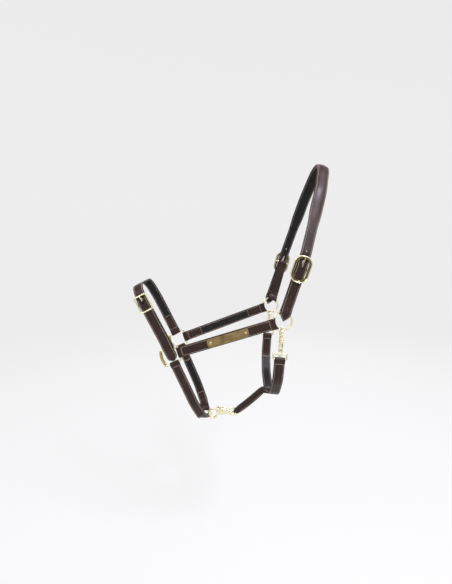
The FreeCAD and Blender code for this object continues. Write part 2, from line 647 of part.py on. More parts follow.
def snap(prefix, place):
    """Bolt snap: x across it towards the bolt, y from the swivel eye to the hook, z its thickness."""
    shift = V["hook_shift"]
    top, end = -V["barrel_top"], -V["barrel_end"]
    bolt_x = (V["hook_inner"] + V["hook_outer"]) / 2 - shift
    left, right = -shift - 2.4, bolt_x + 3.2
    boss_end, head_end, bar_y = end - 8.1, end - 10.3, -V["eye_bar"]
    knob_y, travel, bore_end = -14.0, V["bolt_travel"], end + 2.5
    bolt_tip, bolt_end = -0.15, -0.15 - V["bolt_length"]

    hook = Piece(f"{prefix}_snap_hook", place)
    hook.pad([hook_crescent()], "Sizes.hook_thick")
    hook.pad([rounded_loop([(left, top, 2), (right, top, 2), (right, end + 5, 5), (3.4, end, 1.5),
                            (-3.4, end, 1.5), (left, end + 5, 5)])], "Sizes.barrel_thick")
    blank = hook.body
    stem = rod("stem", place, (0, end + 2, 0), (0, head_end, 0), "Sizes.stem_radius")
    head = rod("stem_head", place, (0, boss_end - 0.3, 0), (0, head_end, 0), "Sizes.stem_head")
    bore = rod("bolt_bore", place, (bolt_x, top + 1, 0), (bolt_x, bore_end, 0), "Sizes.bolt_bore")
    slot = doc.addObject("Part::Box", "knob_slot")
    slot.Length, slot.Width, slot.Height = 6, travel + 4.0, 3.6
    slot.Placement = place.multiply(FreeCAD.Placement(
        Vector(bolt_x, knob_y - travel - 2.0, -1.8), FreeCAD.Rotation()))
    whole = joined("hook_with_stem", [blank, stem, head])
    blank.Label = f"{prefix}_snap_blank"
    whole.Label = f"{prefix}_snap_hook"
    parts[parts.index(blank)] = whole
    cut_from(f"{prefix}_snap_hook", joined("snap_bores", [bore, slot]))

    shank = rod("bolt_shank", place, (bolt_x, bolt_end, 0), (bolt_x, bolt_tip, 0), "Sizes.bolt_radius")
    neck = rod("knob_neck", place, (bolt_x, knob_y, 0), (V["knob_reach"] - 1, knob_y, 0), "Sizes.knob_neck")
    cap = rod("knob_cap", place, (V["knob_reach"] - 2.4, knob_y, 0), (V["knob_reach"], knob_y, 0),
              "Sizes.knob_cap")
    bolt = joined(f"{prefix}_snap_bolt", [shank, neck, cap])
    parts.append(bolt)

    coil_end = bolt_end - 0.1
    helix = doc.addObject("Part::Helix", "coil")
    helix.setExpression("Radius", "Sizes.spring_radius")
    helix.setExpression("Pitch", "Sizes.spring_pitch")
    helix.Height = coil_end - bore_end - 1.0
    coil_place = place.multiply(FreeCAD.Placement(
        Vector(bolt_x, bore_end + 0.5, 0), FreeCAD.Rotation(Vector(0, 0, 1), Vector(0, 1, 0))))
    helix.Placement = coil_place
    wire = doc.addObject("Part::Circle", "coil_wire")
    wire.setExpression("Radius", "Sizes.spring_wire")
    wire.Placement = coil_place.multiply(FreeCAD.Placement(
        Vector(V["spring_radius"], 0, 0), FreeCAD.Rotation(Vector(1, 0, 0), 90)))
    spring = doc.addObject("Part::Sweep", f"{prefix}_snap_spring")
    spring.Label = f"{prefix}_snap_spring"
    spring.Sections = [wire]
    doc.recompute()
    spring.Spine = (helix, [f"Edge{i + 1}" for i in range(len(helix.Shape.Edges))])
    spring.Solid = True
    spring.Frenet = True
    parts.append(spring)

    # Swivel eye: a rectangle across the hook's plane, with a boss that the stem turns in.
    half = V["eye_half"]
    crosswise = place.multiply(FreeCAD.Placement(Vector(), FreeCAD.Rotation(Vector(0, 1, 0), 90)))
    bar_top = end - 4.2
    outline = [(-half, bar_y, 2.5), (half, bar_y, 2.5), (half, bar_top, 2.5), (-half, bar_top, 2.5)]
    eye_blank = wire_loop(f"{prefix}_snap_eye", outline, "Sizes.wire_radius", crosswise)
    boss = rod("eye_boss", place, (0, end - 0.4, 0), (0, boss_end, 0), "Sizes.boss_radius")
    body = joined("eye_with_boss", [eye_blank, boss])
    eye_blank.Label = f"{prefix}_snap_eye_wire"
    body.Label = f"{prefix}_snap_eye"
    parts[parts.index(eye_blank)] = body
    bore = rod("boss_bore", place, (0, end, 0), (0, boss_end - 1, 0), "Sizes.boss_bore")
    cut_from(f"{prefix}_snap_eye", bore)


wire_to_hook = V["hook_inner"] - V["wire_radius"] - 0.8
lean = math.radians(V["throat_lean"])
hook_v = -V["ring_radius"] - wire_to_hook
snap_half = V["ring_half"] + V["hook_shift"]
for name, side in SIDES:
    at = throat_plane.multVec(Vector(side * snap_half, hook_v, 0))
    snap(f"{name}_throat", plane(tuple(at), (0, side, 0), (math.sin(lean), 0, math.cos(lean))))
chin_hook_at = (chin_ring_at[0] + V["chin_ring_radius"] + 2.8, chin_ring_at[1] - 3.2 + V["hook_shift"])
snap("chin", plane((chin_hook_at[0], 0, chin_hook_at[1]), (0, 0, 1), (-1, 0, 0)))

# ---------------------------------------------------------------- throat and jaw straps
throat_bar = (snap_half, hook_v - V["eye_bar"])
throat_half = [(*throat_bar, 0), (87.0, -122.0, 40.0), (61.0, -160.0, 40.0)]
throat_path = mirrored(throat_half, [(0, -184.0, 70.0)])
throat = Piece("throat_strap", throat_plane)
throat.pad([ribbon(throat_path, 0, V["top_ply"])], "Sizes.strap_width")
tail_stop = along_run(throat_path, 0, 0.4)
other_stop = (-tail_stop[0], tail_stop[1], 0)
throat.pad([ribbon([throat_path[0], tail_stop], -V["lining_ply"], 0)], "Sizes.strap_width")
throat.pad([ribbon([other_stop, throat_path[-1]], -V["lining_ply"], 0)], "Sizes.strap_width")
for side in (-1, 1):
    throat.pad([circle(side * throat_bar[0], throat_bar[1], fold_outer)], "Sizes.strap_width")
    throat.pocket([circle(side * throat_bar[0], throat_bar[1], fold_hole)], "Sizes.strap_width")
Piece("throat_lining", throat_plane).pad(
    [ribbon([tail_stop] + throat_path[1:-1] + [other_stop], -V["lining_ply"], 0)], "Sizes.strap_width")

jaw_low = (chin_hook_at[0] + V["eye_bar"], chin_hook_at[1])
throat_low = throat_plane.multVec(Vector(0, -179.5, 0))
strap_thick = V["top_ply"] + V["lining_ply"]
loop_half_w, loop_half_t = V["strap_width"] / 2 + 1.8, strap_thick / 2 + 1.8
jaw_plane = plane((0, 0, 0), (1, 0, 0), (0, 0, 1))


def by_loop(across, up):
    """Point by the loop that holds the throat strap: across its width, and up through it."""
    dx, dz = turned(across, up - 0.4, -V["throat_lean"])
    return (throat_low.x + dx, throat_low.z + dz)


def loop_outline(wall, radius):
    """Outline of the loop's inside (no wall) or outside."""
    half_w, half_t = loop_half_w + wall, loop_half_t + wall
    return rounded_loop([(*by_loop(x * half_w, y * half_t), radius)
                         for x, y in ((-1, -1), (1, -1), (1, 1), (-1, 1))])


loop_front = by_loop(-loop_half_w - V["loop_wall"] / 2, 0)
shank_dx, shank_dz = loop_front[0] - jaw_low[0], loop_front[1] - jaw_low[1]
shank_length = math.hypot(shank_dx, shank_dz)
ux, uz = shank_dx / shank_length, shank_dz / shank_length


def by_shank(along, up):
    return (jaw_low[0] + along * ux - up * uz, jaw_low[1] + along * uz + up * ux)


# The rolled strap's lower edge, by distance along it, half thickness and corner radius.
jaw_half = [(-4.6, 4.5, 3), (10, 7.6, 12), (shank_length - 8, 7.8, 10), (shank_length + 1.5, 6.0, 3)]
jaw = Piece("jaw_strap", jaw_plane)
jaw.pad([rounded_loop([(*by_shank(along, -half), radius) for along, half, radius in jaw_half]
                      + [(*by_shank(along, half), radius) for along, half, radius in jaw_half[::-1]])],
        "Sizes.jaw_width")
jaw.pad([circle(*jaw_low, 5.2)], "Sizes.jaw_width")
jaw.pad([loop_outline(V["loop_wall"], 4.5)], "Sizes.jaw_width")
jaw.pocket([loop_outline(0, 2.5)], "Sizes.strap_width")
jaw.pocket([circle(*jaw_low, fold_hole)], "Sizes.strap_width")

# ---------------------------------------------------------------- check and write
doc.recompute()
os.makedirs("parts", exist_ok=True)
for thing in doc.Objects:
    if set(thing.State) & {"Invalid", "Error"}:
        raise SystemExit(f"{thing.Label} did not build: {thing.State}")
names = [piece.Label for piece in parts]
if len(set(names)) != len(names):
    raise SystemExit("two sub-parts share a name")
for piece in parts:
    if piece.Shape.isNull() or not piece.Shape.isValid() or not piece.Shape.Solids:
        raise SystemExit(f"{piece.Label} has no valid solid")
    print(f"{piece.Label}: {len(piece.Shape.Solids)} solid, {piece.Shape.Volume:.0f} mm3")
for piece in parts:
    piece.Shape.exportStep(f"parts/{piece.Label}.step")
print(len(parts), "sub-parts")
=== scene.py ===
"""Looks of the leather headcollar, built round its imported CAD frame.

The helpers work in millimetres in flat planes; meshes are written in metres in the row frame.
Near-side pieces are built once and mirrored across the horse's middle for the far side.
"""

import json
import math

import bpy
import numpy as np
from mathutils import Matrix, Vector, kdtree

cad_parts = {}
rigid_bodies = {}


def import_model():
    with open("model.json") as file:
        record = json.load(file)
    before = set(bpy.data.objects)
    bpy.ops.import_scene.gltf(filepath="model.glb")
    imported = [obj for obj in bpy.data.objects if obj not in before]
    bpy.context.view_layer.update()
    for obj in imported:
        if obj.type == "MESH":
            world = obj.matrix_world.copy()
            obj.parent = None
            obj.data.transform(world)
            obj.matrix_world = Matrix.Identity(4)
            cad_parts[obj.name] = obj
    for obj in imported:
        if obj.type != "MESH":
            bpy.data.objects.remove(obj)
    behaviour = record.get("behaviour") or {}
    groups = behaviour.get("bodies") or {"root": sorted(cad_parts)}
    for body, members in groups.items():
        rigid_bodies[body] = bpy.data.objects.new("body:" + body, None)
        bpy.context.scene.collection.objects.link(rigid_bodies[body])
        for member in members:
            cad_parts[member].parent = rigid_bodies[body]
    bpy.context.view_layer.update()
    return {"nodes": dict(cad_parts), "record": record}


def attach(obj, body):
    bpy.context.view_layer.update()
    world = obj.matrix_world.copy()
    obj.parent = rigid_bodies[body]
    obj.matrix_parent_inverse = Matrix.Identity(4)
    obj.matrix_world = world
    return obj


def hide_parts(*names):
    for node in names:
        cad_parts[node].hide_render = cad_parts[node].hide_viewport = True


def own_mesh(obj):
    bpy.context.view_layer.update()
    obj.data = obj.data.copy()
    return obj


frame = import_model()
MM = 0.001

# ---------------------------------------------------------------- sizes, as in the CAD
WIDTH, PADDED, CHIN_WIDTH, JAW_WIDTH = 22.0, 26.0, 20.0, 14.0
TOP_PLY, LINING, CHAPE = 2.2, 1.4, 2.0
COVER = LINING + TOP_PLY
WIRE, RING, CHIN_RING = 2.0, 19.0, 16.0
HOLE, SPARE_HOLE = 2.2, 1.3
STITCH_INSET, STITCH_PITCH = 2.4, 3.7
RING_AT = (-101.7, -85.0, -328.8)
SQUARE_AT, SQUARE_Y = (-334.0, -408.0), 58.0
LEAN = {"crown": 17.2, "nose": -27.8, "chin": -24.5, "throat": 5.0}
CHEEK_RISE, SQUARE_TILT = 18.6, 22.0
FOLD_GAP, BAR_GAP = 0.3, 0.1
EYE_BAR, BOLT_TRAVEL = 53.0, 6.0
SIDES = (("near", False), ("far", True))


def unit(v):
    """A vector at unit length."""
    v = np.asarray(v, float)
    return v / np.linalg.norm(v)


class Plane:
    """Flat frame: x along, y up or outwards, z across."""

    def __init__(self, origin, along, up):
        self.o, self.x, self.y = np.array(origin, float), unit(along), unit(up)
        self.z = np.cross(self.x, self.y)

    def at(self, x, y, z=0.0):
        x, y, z = np.broadcast_arrays(np.asarray(x, float), y, z)
        return self.o + x[..., None] * self.x + y[..., None] * self.y + z[..., None] * self.z

    def moved(self, x, y, along, z=0.0):
        """Plane at a point of this one, its x turned to a direction of this one."""
        a, b = unit(along)
        return Plane(self.at(x, y, z), a * self.x + b * self.y, a * self.y - b * self.x)

    def stood(self, x, y, z, along, up):
        """Plane at a point of this one, spanned by two directions of this one."""
        axes = np.array([self.x, self.y, self.z])
        return Plane(self.at(x, y, z), np.asarray(along, float) @ axes, np.asarray(up, float) @ axes)


def leaning(x, z, degrees):
    """Plane across the horse, its y up a line that leans backwards."""
    a = math.radians(degrees)
    return Plane((x, 0, z), (0, 1, 0), (math.sin(a), 0, math.cos(a)))


# ---------------------------------------------------------------- flat paths
def offset_path(points, distance):
    """Moves an open path of (x, y, corner radius) sideways, to its left when positive."""
    lines = []
    for (x0, y0, _), (x1, y1, _) in zip(points, points[1:]):
        length = math.hypot(x1 - x0, y1 - y0)
        dx, dy = (x1 - x0) / length, (y1 - y0) / length
        lines.append((x0 - dy * distance, y0 + dx * distance, dx, dy, length))
    moved = [(lines[0][0], lines[0][1], 0.0)]
    for (ax, ay, adx, ady, _), (bx, by, bdx, bdy, _), corner in zip(lines, lines[1:], points[1:]):
        turn = adx * bdy - ady * bdx
        if abs(turn) < 1e-9:
            moved.append((bx, by, 0.0))
            continue
        step = ((bx - ax) * bdy - (by - ay) * bdx) / turn
        radius = corner[2] - distance if turn > 0 else corner[2] + distance
        moved.append((ax + adx * step, ay + ady * step, max(radius, 0.3)))
    x, y, dx, dy, length = lines[-1]
    moved.append((x + dx * length, y + dy * length, 0.0))
    return moved


def rounded(points, closed=False, bend=7.0, step=2.5):
    """Samples a chain of (x, y, corner radius) with tangent arcs at its corners."""
    corners = list(points) if not closed else [points[-1], *points, points[0]]
    found = [] if closed else [np.array(points[0][:2], float)]
    for a, b, c in zip(corners, corners[1:], corners[2:]):
        corner = np.array(b[:2], float)
        u, v = unit(np.array(a[:2]) - corner), unit(np.array(c[:2]) - corner)
        half = math.acos(max(-1.0, min(1.0, float(u @ v)))) / 2
        if b[2] <= 0 or half > math.pi / 2 - 1e-4:
            found.append(corner)
            continue
        reach = b[2] / math.tan(half)
        centre = corner + unit(u + v) * b[2] / math.sin(half)
        start, end = corner + u * reach - centre, corner + v * reach - centre
        first = math.atan2(start[1], start[0])
        sweep = math.atan2(start[0] * end[1] - start[1] * end[0], float(start @ end))
        count = max(2, math.ceil(abs(math.degrees(sweep)) / bend - 1e-6))
        for i in range(count + 1):
            angle = first + sweep * i / count
            found.append(centre + b[2] * np.array((math.cos(angle), math.sin(angle))))
    found.append(found[0] if closed else np.array(points[-1][:2], float))
    line = [found[0]]
    for p, q in zip(found, found[1:]):
        gap = float(np.linalg.norm(q - p))
        if gap > 0.05:
            count = math.ceil(gap / step)
            line += [p + (q - p) * i / count for i in range(1, count + 1)]
    return np.array(line[:-1] if closed else line)


def rounded_box(low, high, radius, bend, step=2.5):
    """Closed outline of a box between two opposite corners (x, y)."""
    (x0, y0), (x1, y1) = low, high
    return rounded([(x0, y0, radius), (x1, y0, radius), (x1, y1, radius), (x0, y1, radius)],
                   True, bend, step)


def lengths(line):
    """Distance of each point along a line."""
    return np.concatenate([[0.0], np.cumsum(np.linalg.norm(np.diff(line, axis=0), axis=1))])


def headings(line, closed=False):
    """Direction of a line at each point."""
    if closed:
        d = np.roll(line, -1, axis=0) - np.roll(line, 1, axis=0)
    else:
        d = np.gradient(line, axis=0)
    return d / np.linalg.norm(d, axis=1)[:, None]


def distance_to(points, x, y):
    """How far along a path its nearest sample to a point lies."""
    line = rounded(points)
    return float(lengths(line)[np.argmin(np.hypot(line[:, 0] - x, line[:, 1] - y))])


def skived(start, end):
    """Faces of a folded ply that is pared thin towards both of its ends."""
    return {face: [(0, thin), (start, full), (-end, full), (-0.01, thin)]
            for face, thin, full in (("low", -0.5, -1.1), ("high", 0.6, 1.1))}


def along_run(path, index, share):
    """Point part of the way along one straight run of a path."""
    (x0, y0, _), (x1, y1, _) = path[index], path[index + 1]
    return (x0 + (x1 - x0) * share, y0 + (y1 - y0) * share, 0)


def ramp(spec, s, total):
    """A number, or values at distances (negative ones counted from the end), at each s."""
    if not isinstance(spec, (list, tuple)):
        return np.full(len(s), float(spec))
    at = [(x if x >= 0 else total + x, v) for x, v in spec]
    return np.interp(s, [a for a, _ in at], [v for _, v in at])


def symmetric(*steps):
    """Values at distances from one end, for ramp, and the same ones from the other end."""
    return [*steps, *((-at if at else -0.01, value) for at, value in reversed(steps))]


def smooth(x):
    """Goes softly from 0 to 1 as x does."""
    x = np.clip(x, 0, 1)
    return x * x * (3 - 2 * x)


def turned_back(points, centre, reach, tail, tail_offset, pinch=10.0):
    """Centreline of a ply from its tail's end, round the bar at points[0], and along points."""
    (x0, y0, _), (x1, y1, _) = points[0], points[1]
    ux, uy = unit((x1 - x0, y1 - y0))
    side = math.copysign(reach, centre)

    def local(a, b, r):
        return (x0 + a * ux - b * uy, y0 + a * uy + b * ux, r)

    turn = [local(pinch, tail_offset, 11), local(3.3, -side, 9), local(-reach, -side, reach),
            local(-reach, side, reach), local(3.3, side, 9), local(pinch, centre, 11)]
    return offset_path(tail, tail_offset)[:0:-1] + turn + offset_path(points, centre)[1:]


def turned_both(points, centre, reach, tails, tail_offset, pinch=(10.0, 10.0)):
    """The same, with a bar and a tail at either end."""
    start = turned_back(points, centre, reach, tails[0], tail_offset, pinch[0])
    end = turned_back(points[::-1], -centre, reach, tails[1], -tail_offset, pinch[1])[::-1]
    return start[:-1] + end[len(points) - 1:]


# ---------------------------------------------------------------- meshes
def grid_faces(rows, columns, close_rows=False):
    """Quads of a tube whose rings have that many columns."""
    faces = []
    for i in range(rows if close_rows else rows - 1):
        a, b = i * columns, (i + 1) % rows * columns
        faces += [(a + j, a + (j + 1) % columns, b + (j + 1) % columns, b + j) for j in range(columns)]
    return faces


def capped(rows, columns):
    """The same, with a face over either end."""
    last = (rows - 1) * columns
    caps = [tuple(range(columns))[::-1], tuple(last + i for i in range(columns))]
    return grid_faces(rows, columns) + caps


def set_places(mesh, run, edge):
    """Stores each vertex's place on its piece and its edge value: how worn the leather is there, and on brass
    how deep its colour is, which on a stepped buckle frame is painted shade.
    """
    for name, kind, key, values in (("run", "FLOAT_VECTOR", "vector", run), ("edge", "FLOAT", "value", edge)):
        data = mesh.attributes.new(name, kind, "POINT").data
        data.foreach_set(key, np.asarray(values, np.float32).ravel())


class Shape:
    """Collects vertices (millimetres) and faces, with each vertex's place on the leather."""

    def __init__(self):
        self.verts, self.faces, self.run, self.edge, self.count = [], [], [], [], 0

    def add(self, verts, faces, run=None, edge=None):
        verts = np.asarray(verts, float).reshape(-1, 3)
        self.faces += [tuple(i + self.count for i in face) for face in faces]
        self.verts.append(verts)
        self.run.append(verts if run is None else run)
        self.edge.append(np.zeros(len(verts)) if edge is None else edge)
        self.count += len(verts)
        return self

    def build(self, name, material, body, nodes=(), slot=None, mirror=False, sharp=45.0):
        """Makes the object, mirrored for the far side if asked, and puts it on its body."""
        verts = np.concatenate(self.verts) * MM
        faces = self.faces
        if mirror:
            verts = verts * (1, -1, 1)
            faces = [face[::-1] for face in faces]
        mesh = bpy.data.meshes.new(name)
        mesh.from_pydata(verts.tolist(), [], faces)
        other_hide = 0.37 if mirror else 0.0
        set_places(mesh, np.concatenate(self.run) * MM + other_hide, np.concatenate(self.edge))
        mesh.materials.append(material)
        mesh.shade_smooth()
        mesh.set_sharp_from_angle(angle=math.radians(sharp))
        obj = bpy.data.objects.new(name, mesh)
        bpy.context.scene.collection.objects.link(obj)
        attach(obj, body)
        if nodes:
            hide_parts(*nodes)
        return obj


def oval(a, b=None, count=16, power=2.0):
    """Closed section with half sizes a and b; a power above 2 squares it off."""
    angle = np.linspace(0, 2 * math.pi, count, endpoint=False)
    c, s = np.cos(angle), np.sin(angle)
    squash = (np.abs(c) ** power + np.abs(s) ** power) ** (-1 / power)
    return np.column_stack([a * c * squash, (b or a) * s * squash])


def bar(shape, plane, line, section, scale=1.0, closed=False, lift=0.0, nose=(0, 0), inner=1.0):
    """Sweeps a section of (left, up) points along a flat line; nose rounds off its ends,
    and inner stretches the part of the section on the line's left."""
    line = np.asarray(line, float)
    scale = np.broadcast_to(np.asarray(scale, float), (len(line),)).copy()
    lift = np.broadcast_to(np.asarray(lift, float), (len(line),)).copy()
    way = headings(line, closed)
    if not closed:
        angles = np.radians((35, 62, 82))
        for end, size in ((0, nose[0]), (-1, nose[1])):
            if not size:
                continue
            forward = way[end] * (-1 if end == 0 else 1)
            extra = line[end] + forward * size * np.sin(angles)[:, None]
            shrink, lifts = scale[end] * np.cos(angles), np.full(3, lift[end])
            turns = np.tile(way[end], (3, 1))
            if end == 0:
                line, way = np.vstack([extra[::-1], line]), np.vstack([turns, way])
                scale, lift = np.r_[shrink[::-1], scale], np.r_[lifts, lift]
            else:
                line, way = np.vstack([line, extra]), np.vstack([way, turns])
                scale, lift = np.r_[scale, shrink], np.r_[lift, lifts]
    left = np.column_stack([-way[:, 1], way[:, 0]])
    across = section[None, :, 0] * scale[:, None]
    across = np.where(across > 0, across * np.broadcast_to(inner, (len(line),))[:, None], across)
    up = section[None, :, 1] * scale[:, None] + lift[:, None]
    verts = plane.at(line[:, 0, None] + left[:, 0, None] * across,
                     line[:, 1, None] + left[:, 1, None] * across, up)
    rows, columns = len(line), len(section)
    faces = grid_faces(rows, columns, True) if closed else capped(rows, columns)
    return shape.add(verts, [face[::-1] for face in faces])


def lathe(shape, plane, profile, count=20):
    """Turns a profile of (radius, distance along the plane's z) round the plane's z."""
    angle = np.linspace(0, 2 * math.pi, count, endpoint=False)
    profile = np.asarray(profile, float)
    radius, height = profile[:, 0, None], profile[:, 1, None]
    verts = plane.at(radius * np.cos(angle), radius * np.sin(angle), height + 0 * angle)
    return shape.add(verts, capped(len(profile), count))


def loft(shape, plane, sections, count=28, power=2.6):
    """Closed body of rounded sections (y, left x, right x, half thickness) along a plane's y."""
    rings = []
    for y, left, right, thick in sections:
        ring = oval((right - left) / 2, thick, count, power)
        rings.append(plane.at(ring[:, 0] + (left + right) / 2, y, ring[:, 1]))
    return shape.add(np.concatenate(rings), capped(len(rings), count))


def flipped(shape):
    """The mirror image across the horse's middle."""
    shape.verts = [v * (1, -1, 1) for v in shape.verts]
    shape.faces = [f[::-1] for f in shape.faces]
    return shape


def capsule_cutter(plane, start, end, radius, low, high, step=40.0):
    """Cutter with a round-ended outline along a plane's x, from one height to another."""
    outline = rounded_box((start - radius, -radius), (end + radius, radius), radius, 20.0, step)
    verts = np.concatenate([plane.at(outline[:, 0], outline[:, 1], z) for z in (low, high)])
    return Shape().add(verts, capped(2, len(outline)))


def punched(obj, cutters):
    """Cuts closed shapes out of a piece and gives the new rims the leather's places."""
    before = obj.data
    tree = kdtree.KDTree(len(before.vertices))
    for i, vertex in enumerate(before.vertices):
        tree.insert(vertex.co, i)
    tree.balance()
    run, edge = before.attributes["run"].data, before.attributes["edge"].data
    places = [(tuple(run[i].vector), edge[i].value) for i in range(len(before.vertices))]
    tools = bpy.data.collections.new("tools")
    for number, cutter in enumerate(cutters):
        mesh = bpy.data.meshes.new(f"tool{number}")
        mesh.from_pydata((np.concatenate(cutter.verts) * MM).tolist(), [], cutter.faces)
        tools.objects.link(bpy.data.objects.new(f"tool{number}", mesh))
    modifier = obj.modifiers.new("holes", "BOOLEAN")
    modifier.operand_type, modifier.collection, modifier.solver = "COLLECTION", tools, "EXACT"
    bpy.context.scene.collection.children.link(tools)
    bpy.context.view_layer.update()
    graph = bpy.context.evaluated_depsgraph_get()
    cut = bpy.data.meshes.new_from_object(obj.evaluated_get(graph))
    obj.modifiers.clear()
    for name in ("run", "edge"):
        if name in cut.attributes:
            cut.attributes.remove(cut.attributes[name])
    nearest = [tree.find(vertex.co) for vertex in cut.vertices]
    found = [places[i] for _, i, _ in nearest]
    rims = [0.0 if distance < 1e-6 else 1.0 for _, _, distance in nearest]
    set_places(cut, [r for r, _ in found], [max(e, rim) for (_, e), rim in zip(found, rims)])
    cut.shade_smooth()
    cut.set_sharp_from_angle(angle=math.radians(40))
    obj.data = cut
    for tool in list(tools.objects):
        bpy.data.objects.remove(tool)
    bpy.data.collections.remove(tools)


# ---------------------------------------------------------------- straps
EDGE_ROUND = 0.8        # radius of a ply's worn edges
GROOVE_WIDTH = 0.65     # half width of the crease that stitches sit in
# Where a ply's surface is sampled, from either edge inwards, and as shares of what is left.
NEAR_EDGE = np.array((0.0, 0.1, 0.3, 0.65, 1.1, 1.6, 2.0, 2.4, 2.8, 3.3, 4.2))
NEAR_MIDDLE = np.array((0.3, 0.65))
TIP_STEPS, SQUARE_END = 16, np.array((0.0, 0.15, 0.4, 0.8))
SEAM_STEP = 0.6         # distance between the points that a seam follows


class Strap:
    """A flat ply that bends in one plane, with rounded edges, a dome and stitch grooves.

    low and high are its faces, outwards from the path; folds are (direction, radius, skew)
    where the ply goes round a curved wire and its edges follow the curve.
    """

    def __init__(self, plane, points, width, low, high, tips=(None, None), folds=(),
                 dome=(0.25, 0.25), power=2.0, groove=(0.22, 0.22), wave=0.1, phase=0.0, drift=0.0):
        self.plane = plane
        line = rounded(points)
        s = lengths(line)
        total = s[-1]
        wanted = [s]
        for end, tip in zip((0, 1), tips):
            near = tip[1] * (1 - np.cos(np.linspace(0, math.pi / 2, TIP_STEPS))) if tip else SQUARE_END
            wanted.append(near if end == 0 else total - near)
        t = np.sort(np.concatenate(wanted))
        keep = [0]
        for i in range(1, len(t)):
            if t[i] - t[keep[-1]] > 0.1:
                keep.append(i)
        t = t[keep]
        t[-1] = total
        self.s, self.total = t, total
        self.line = np.column_stack([np.interp(t, s, line[:, 0]), np.interp(t, s, line[:, 1])])
        self.way = headings(self.line)
        self.full = ramp(width, t, total) / 2
        self.half = self.full * self.narrowing(tips)
        self.low, self.high = ramp(low, t, total), ramp(high, t, total)
        self.dome = [ramp(d, t, total) for d in dome]
        self.power, self.groove, self.wave, self.phase = power, groove, wave, phase
        self.drift = ramp(drift, t, total)
        self.folds = [(np.array(way), radius, np.array(skew), fade,
                       t[np.argmax(self.line @ np.array(way))]) for way, radius, skew, fade in folds]

    def narrowing(self, tips):
        """Share of the full width at each station, for rounded and pointed ends."""
        factor = np.ones(len(self.s))
        for from_end, tip in zip((self.s, self.total - self.s), tips):
            if not tip:
                continue
            x = np.clip(from_end / tip[1], 0, 1)
            shape = np.sqrt(1 - (1 - x) ** 2) if tip[0] == "round" else 1 - (1 - x) ** 1.7
            factor = factor * np.maximum(shape, 0.09)
        return factor

    def value(self, array, s):
        """A value kept at the strap's stations, at other distances along it."""
        return np.interp(s, self.s, array)

    def place(self, s, across, out):
        """Row-frame points at s along, across its width and out from its path."""
        s = np.asarray(s, float)
        x, y = self.value(self.line[:, 0], s), self.value(self.line[:, 1], s)
        wx, wy = self.value(self.way[:, 0], s), self.value(self.way[:, 1], s)
        size = np.hypot(wx, wy)
        nx, ny = -wy / size, wx / size
        wave = self.wave * (np.sin(0.061 * s + self.phase) + 0.6 * np.sin(0.17 * s + 2.3 * self.phase))
        out = out + wave[:, None]
        px, py = x[:, None] + nx[:, None] * out, y[:, None] + ny[:, None] * out
        for way, radius, skew, fade, middle in self.folds:
            weight = smooth((fade - np.abs(s - middle)) / (fade - 6.0))[:, None]
            sag = radius - np.sqrt(np.maximum(radius ** 2 - across ** 2, 1.0))
            px = px + weight * (way[0] * sag + skew[0] * across)
            py = py + weight * (way[1] * sag + skew[1] * across)
        return self.plane.at(px, py, across + self.value(self.drift, s)[:, None])

    def face(self, s, across, top):
        """Height of a face, with its edge rounding, groove and dome."""
        half = self.value(self.half, s)[:, None]
        low, high = self.value(self.low, s)[:, None], self.value(self.high, s)[:, None]
        edge = half - np.abs(across)
        radius = np.minimum(EDGE_ROUND, 0.46 * (high - low))
        from_end = np.minimum(s, self.total - s)[:, None]

        def rounding(d):
            inside = np.maximum(radius - np.maximum(d, 0), 0)
            return radius - np.sqrt(radius ** 2 - inside ** 2)

        drop = np.maximum(rounding(edge), rounding(from_end + 0 * across))
        depth = self.groove[0 if top else 1]
        groove = depth * np.exp(-((edge - STITCH_INSET) / GROOVE_WIDTH) ** 2)
        share = np.abs(across / np.maximum(half, 0.1)) ** self.power
        bow = self.value(self.dome[0 if top else 1], s)[:, None] * share
        return high - drop - groove - bow if top else low + drop + groove - bow

    def add_to(self, shape):
        """Adds the ply's closed surface to a shape."""
        full = self.full[:, None]
        deep = NEAR_EDGE[-1] + (full - NEAR_EDGE[-1]) * NEAR_MIDDLE
        distance = np.hstack([np.broadcast_to(NEAR_EDGE, (len(self.s), len(NEAR_EDGE))), deep])
        distance = distance * (self.half / self.full)[:, None]
        half = self.half[:, None]
        across = np.hstack([distance - half, 0 * half, (half - distance)[:, ::-1]])
        top, bottom = self.face(self.s, across, True), self.face(self.s, across, False)
        middle = (self.high + self.low)[:, None] / 2 - (self.dome[0] + self.dome[1])[:, None] / 2
        across_all = np.hstack([across, half + 0.05, across[:, ::-1], -half - 0.05])
        out_all = np.hstack([top, middle, bottom[:, ::-1], middle])
        verts = self.place(self.s, across_all, out_all)
        rows, columns = across_all.shape
        count = across.shape[1]
        faces = grid_faces(rows, columns)
        for ring, flip in ((0, False), ((rows - 1) * columns, True)):
            lower = [ring + 2 * count - i for i in range(count)]
            cap = [(ring + i, lower[i], lower[i + 1], ring + i + 1) for i in range(count - 1)]
            cap.append((ring + count - 1, lower[-1], ring + count))
            cap.append((ring, ring + columns - 1, lower[0]))
            faces += [face[::-1] for face in cap] if flip else cap
        side = np.clip(1.2 - np.hstack([distance, 9 + 0 * half, distance[:, ::-1]]) / EDGE_ROUND, 0, 1)
        ones = np.ones((rows, 1))
        edge = np.hstack([side, ones, side[:, ::-1], ones])
        s = np.broadcast_to(self.s[:, None], across_all.shape)
        run = np.stack([s + 31 * self.phase, across_all, out_all], axis=-1).reshape(-1, 3)
        return shape.add(verts, [face[::-1] for face in faces], run, edge.ravel())

    def counted(self, s):
        """A distance along the strap; one below 0 counts from its end."""
        return s if s >= 0 else self.total + s

    def row(self, start, end, side, top=True):
        """Points and outward directions along one edge, where a row of stitches runs."""
        s = np.arange(start, end, SEAM_STEP)
        half = self.value(self.half, s)
        wide = half > STITCH_INSET + 0.2
        return self.lifted(s[wide], (side * (half[wide] - STITCH_INSET))[:, None], top)

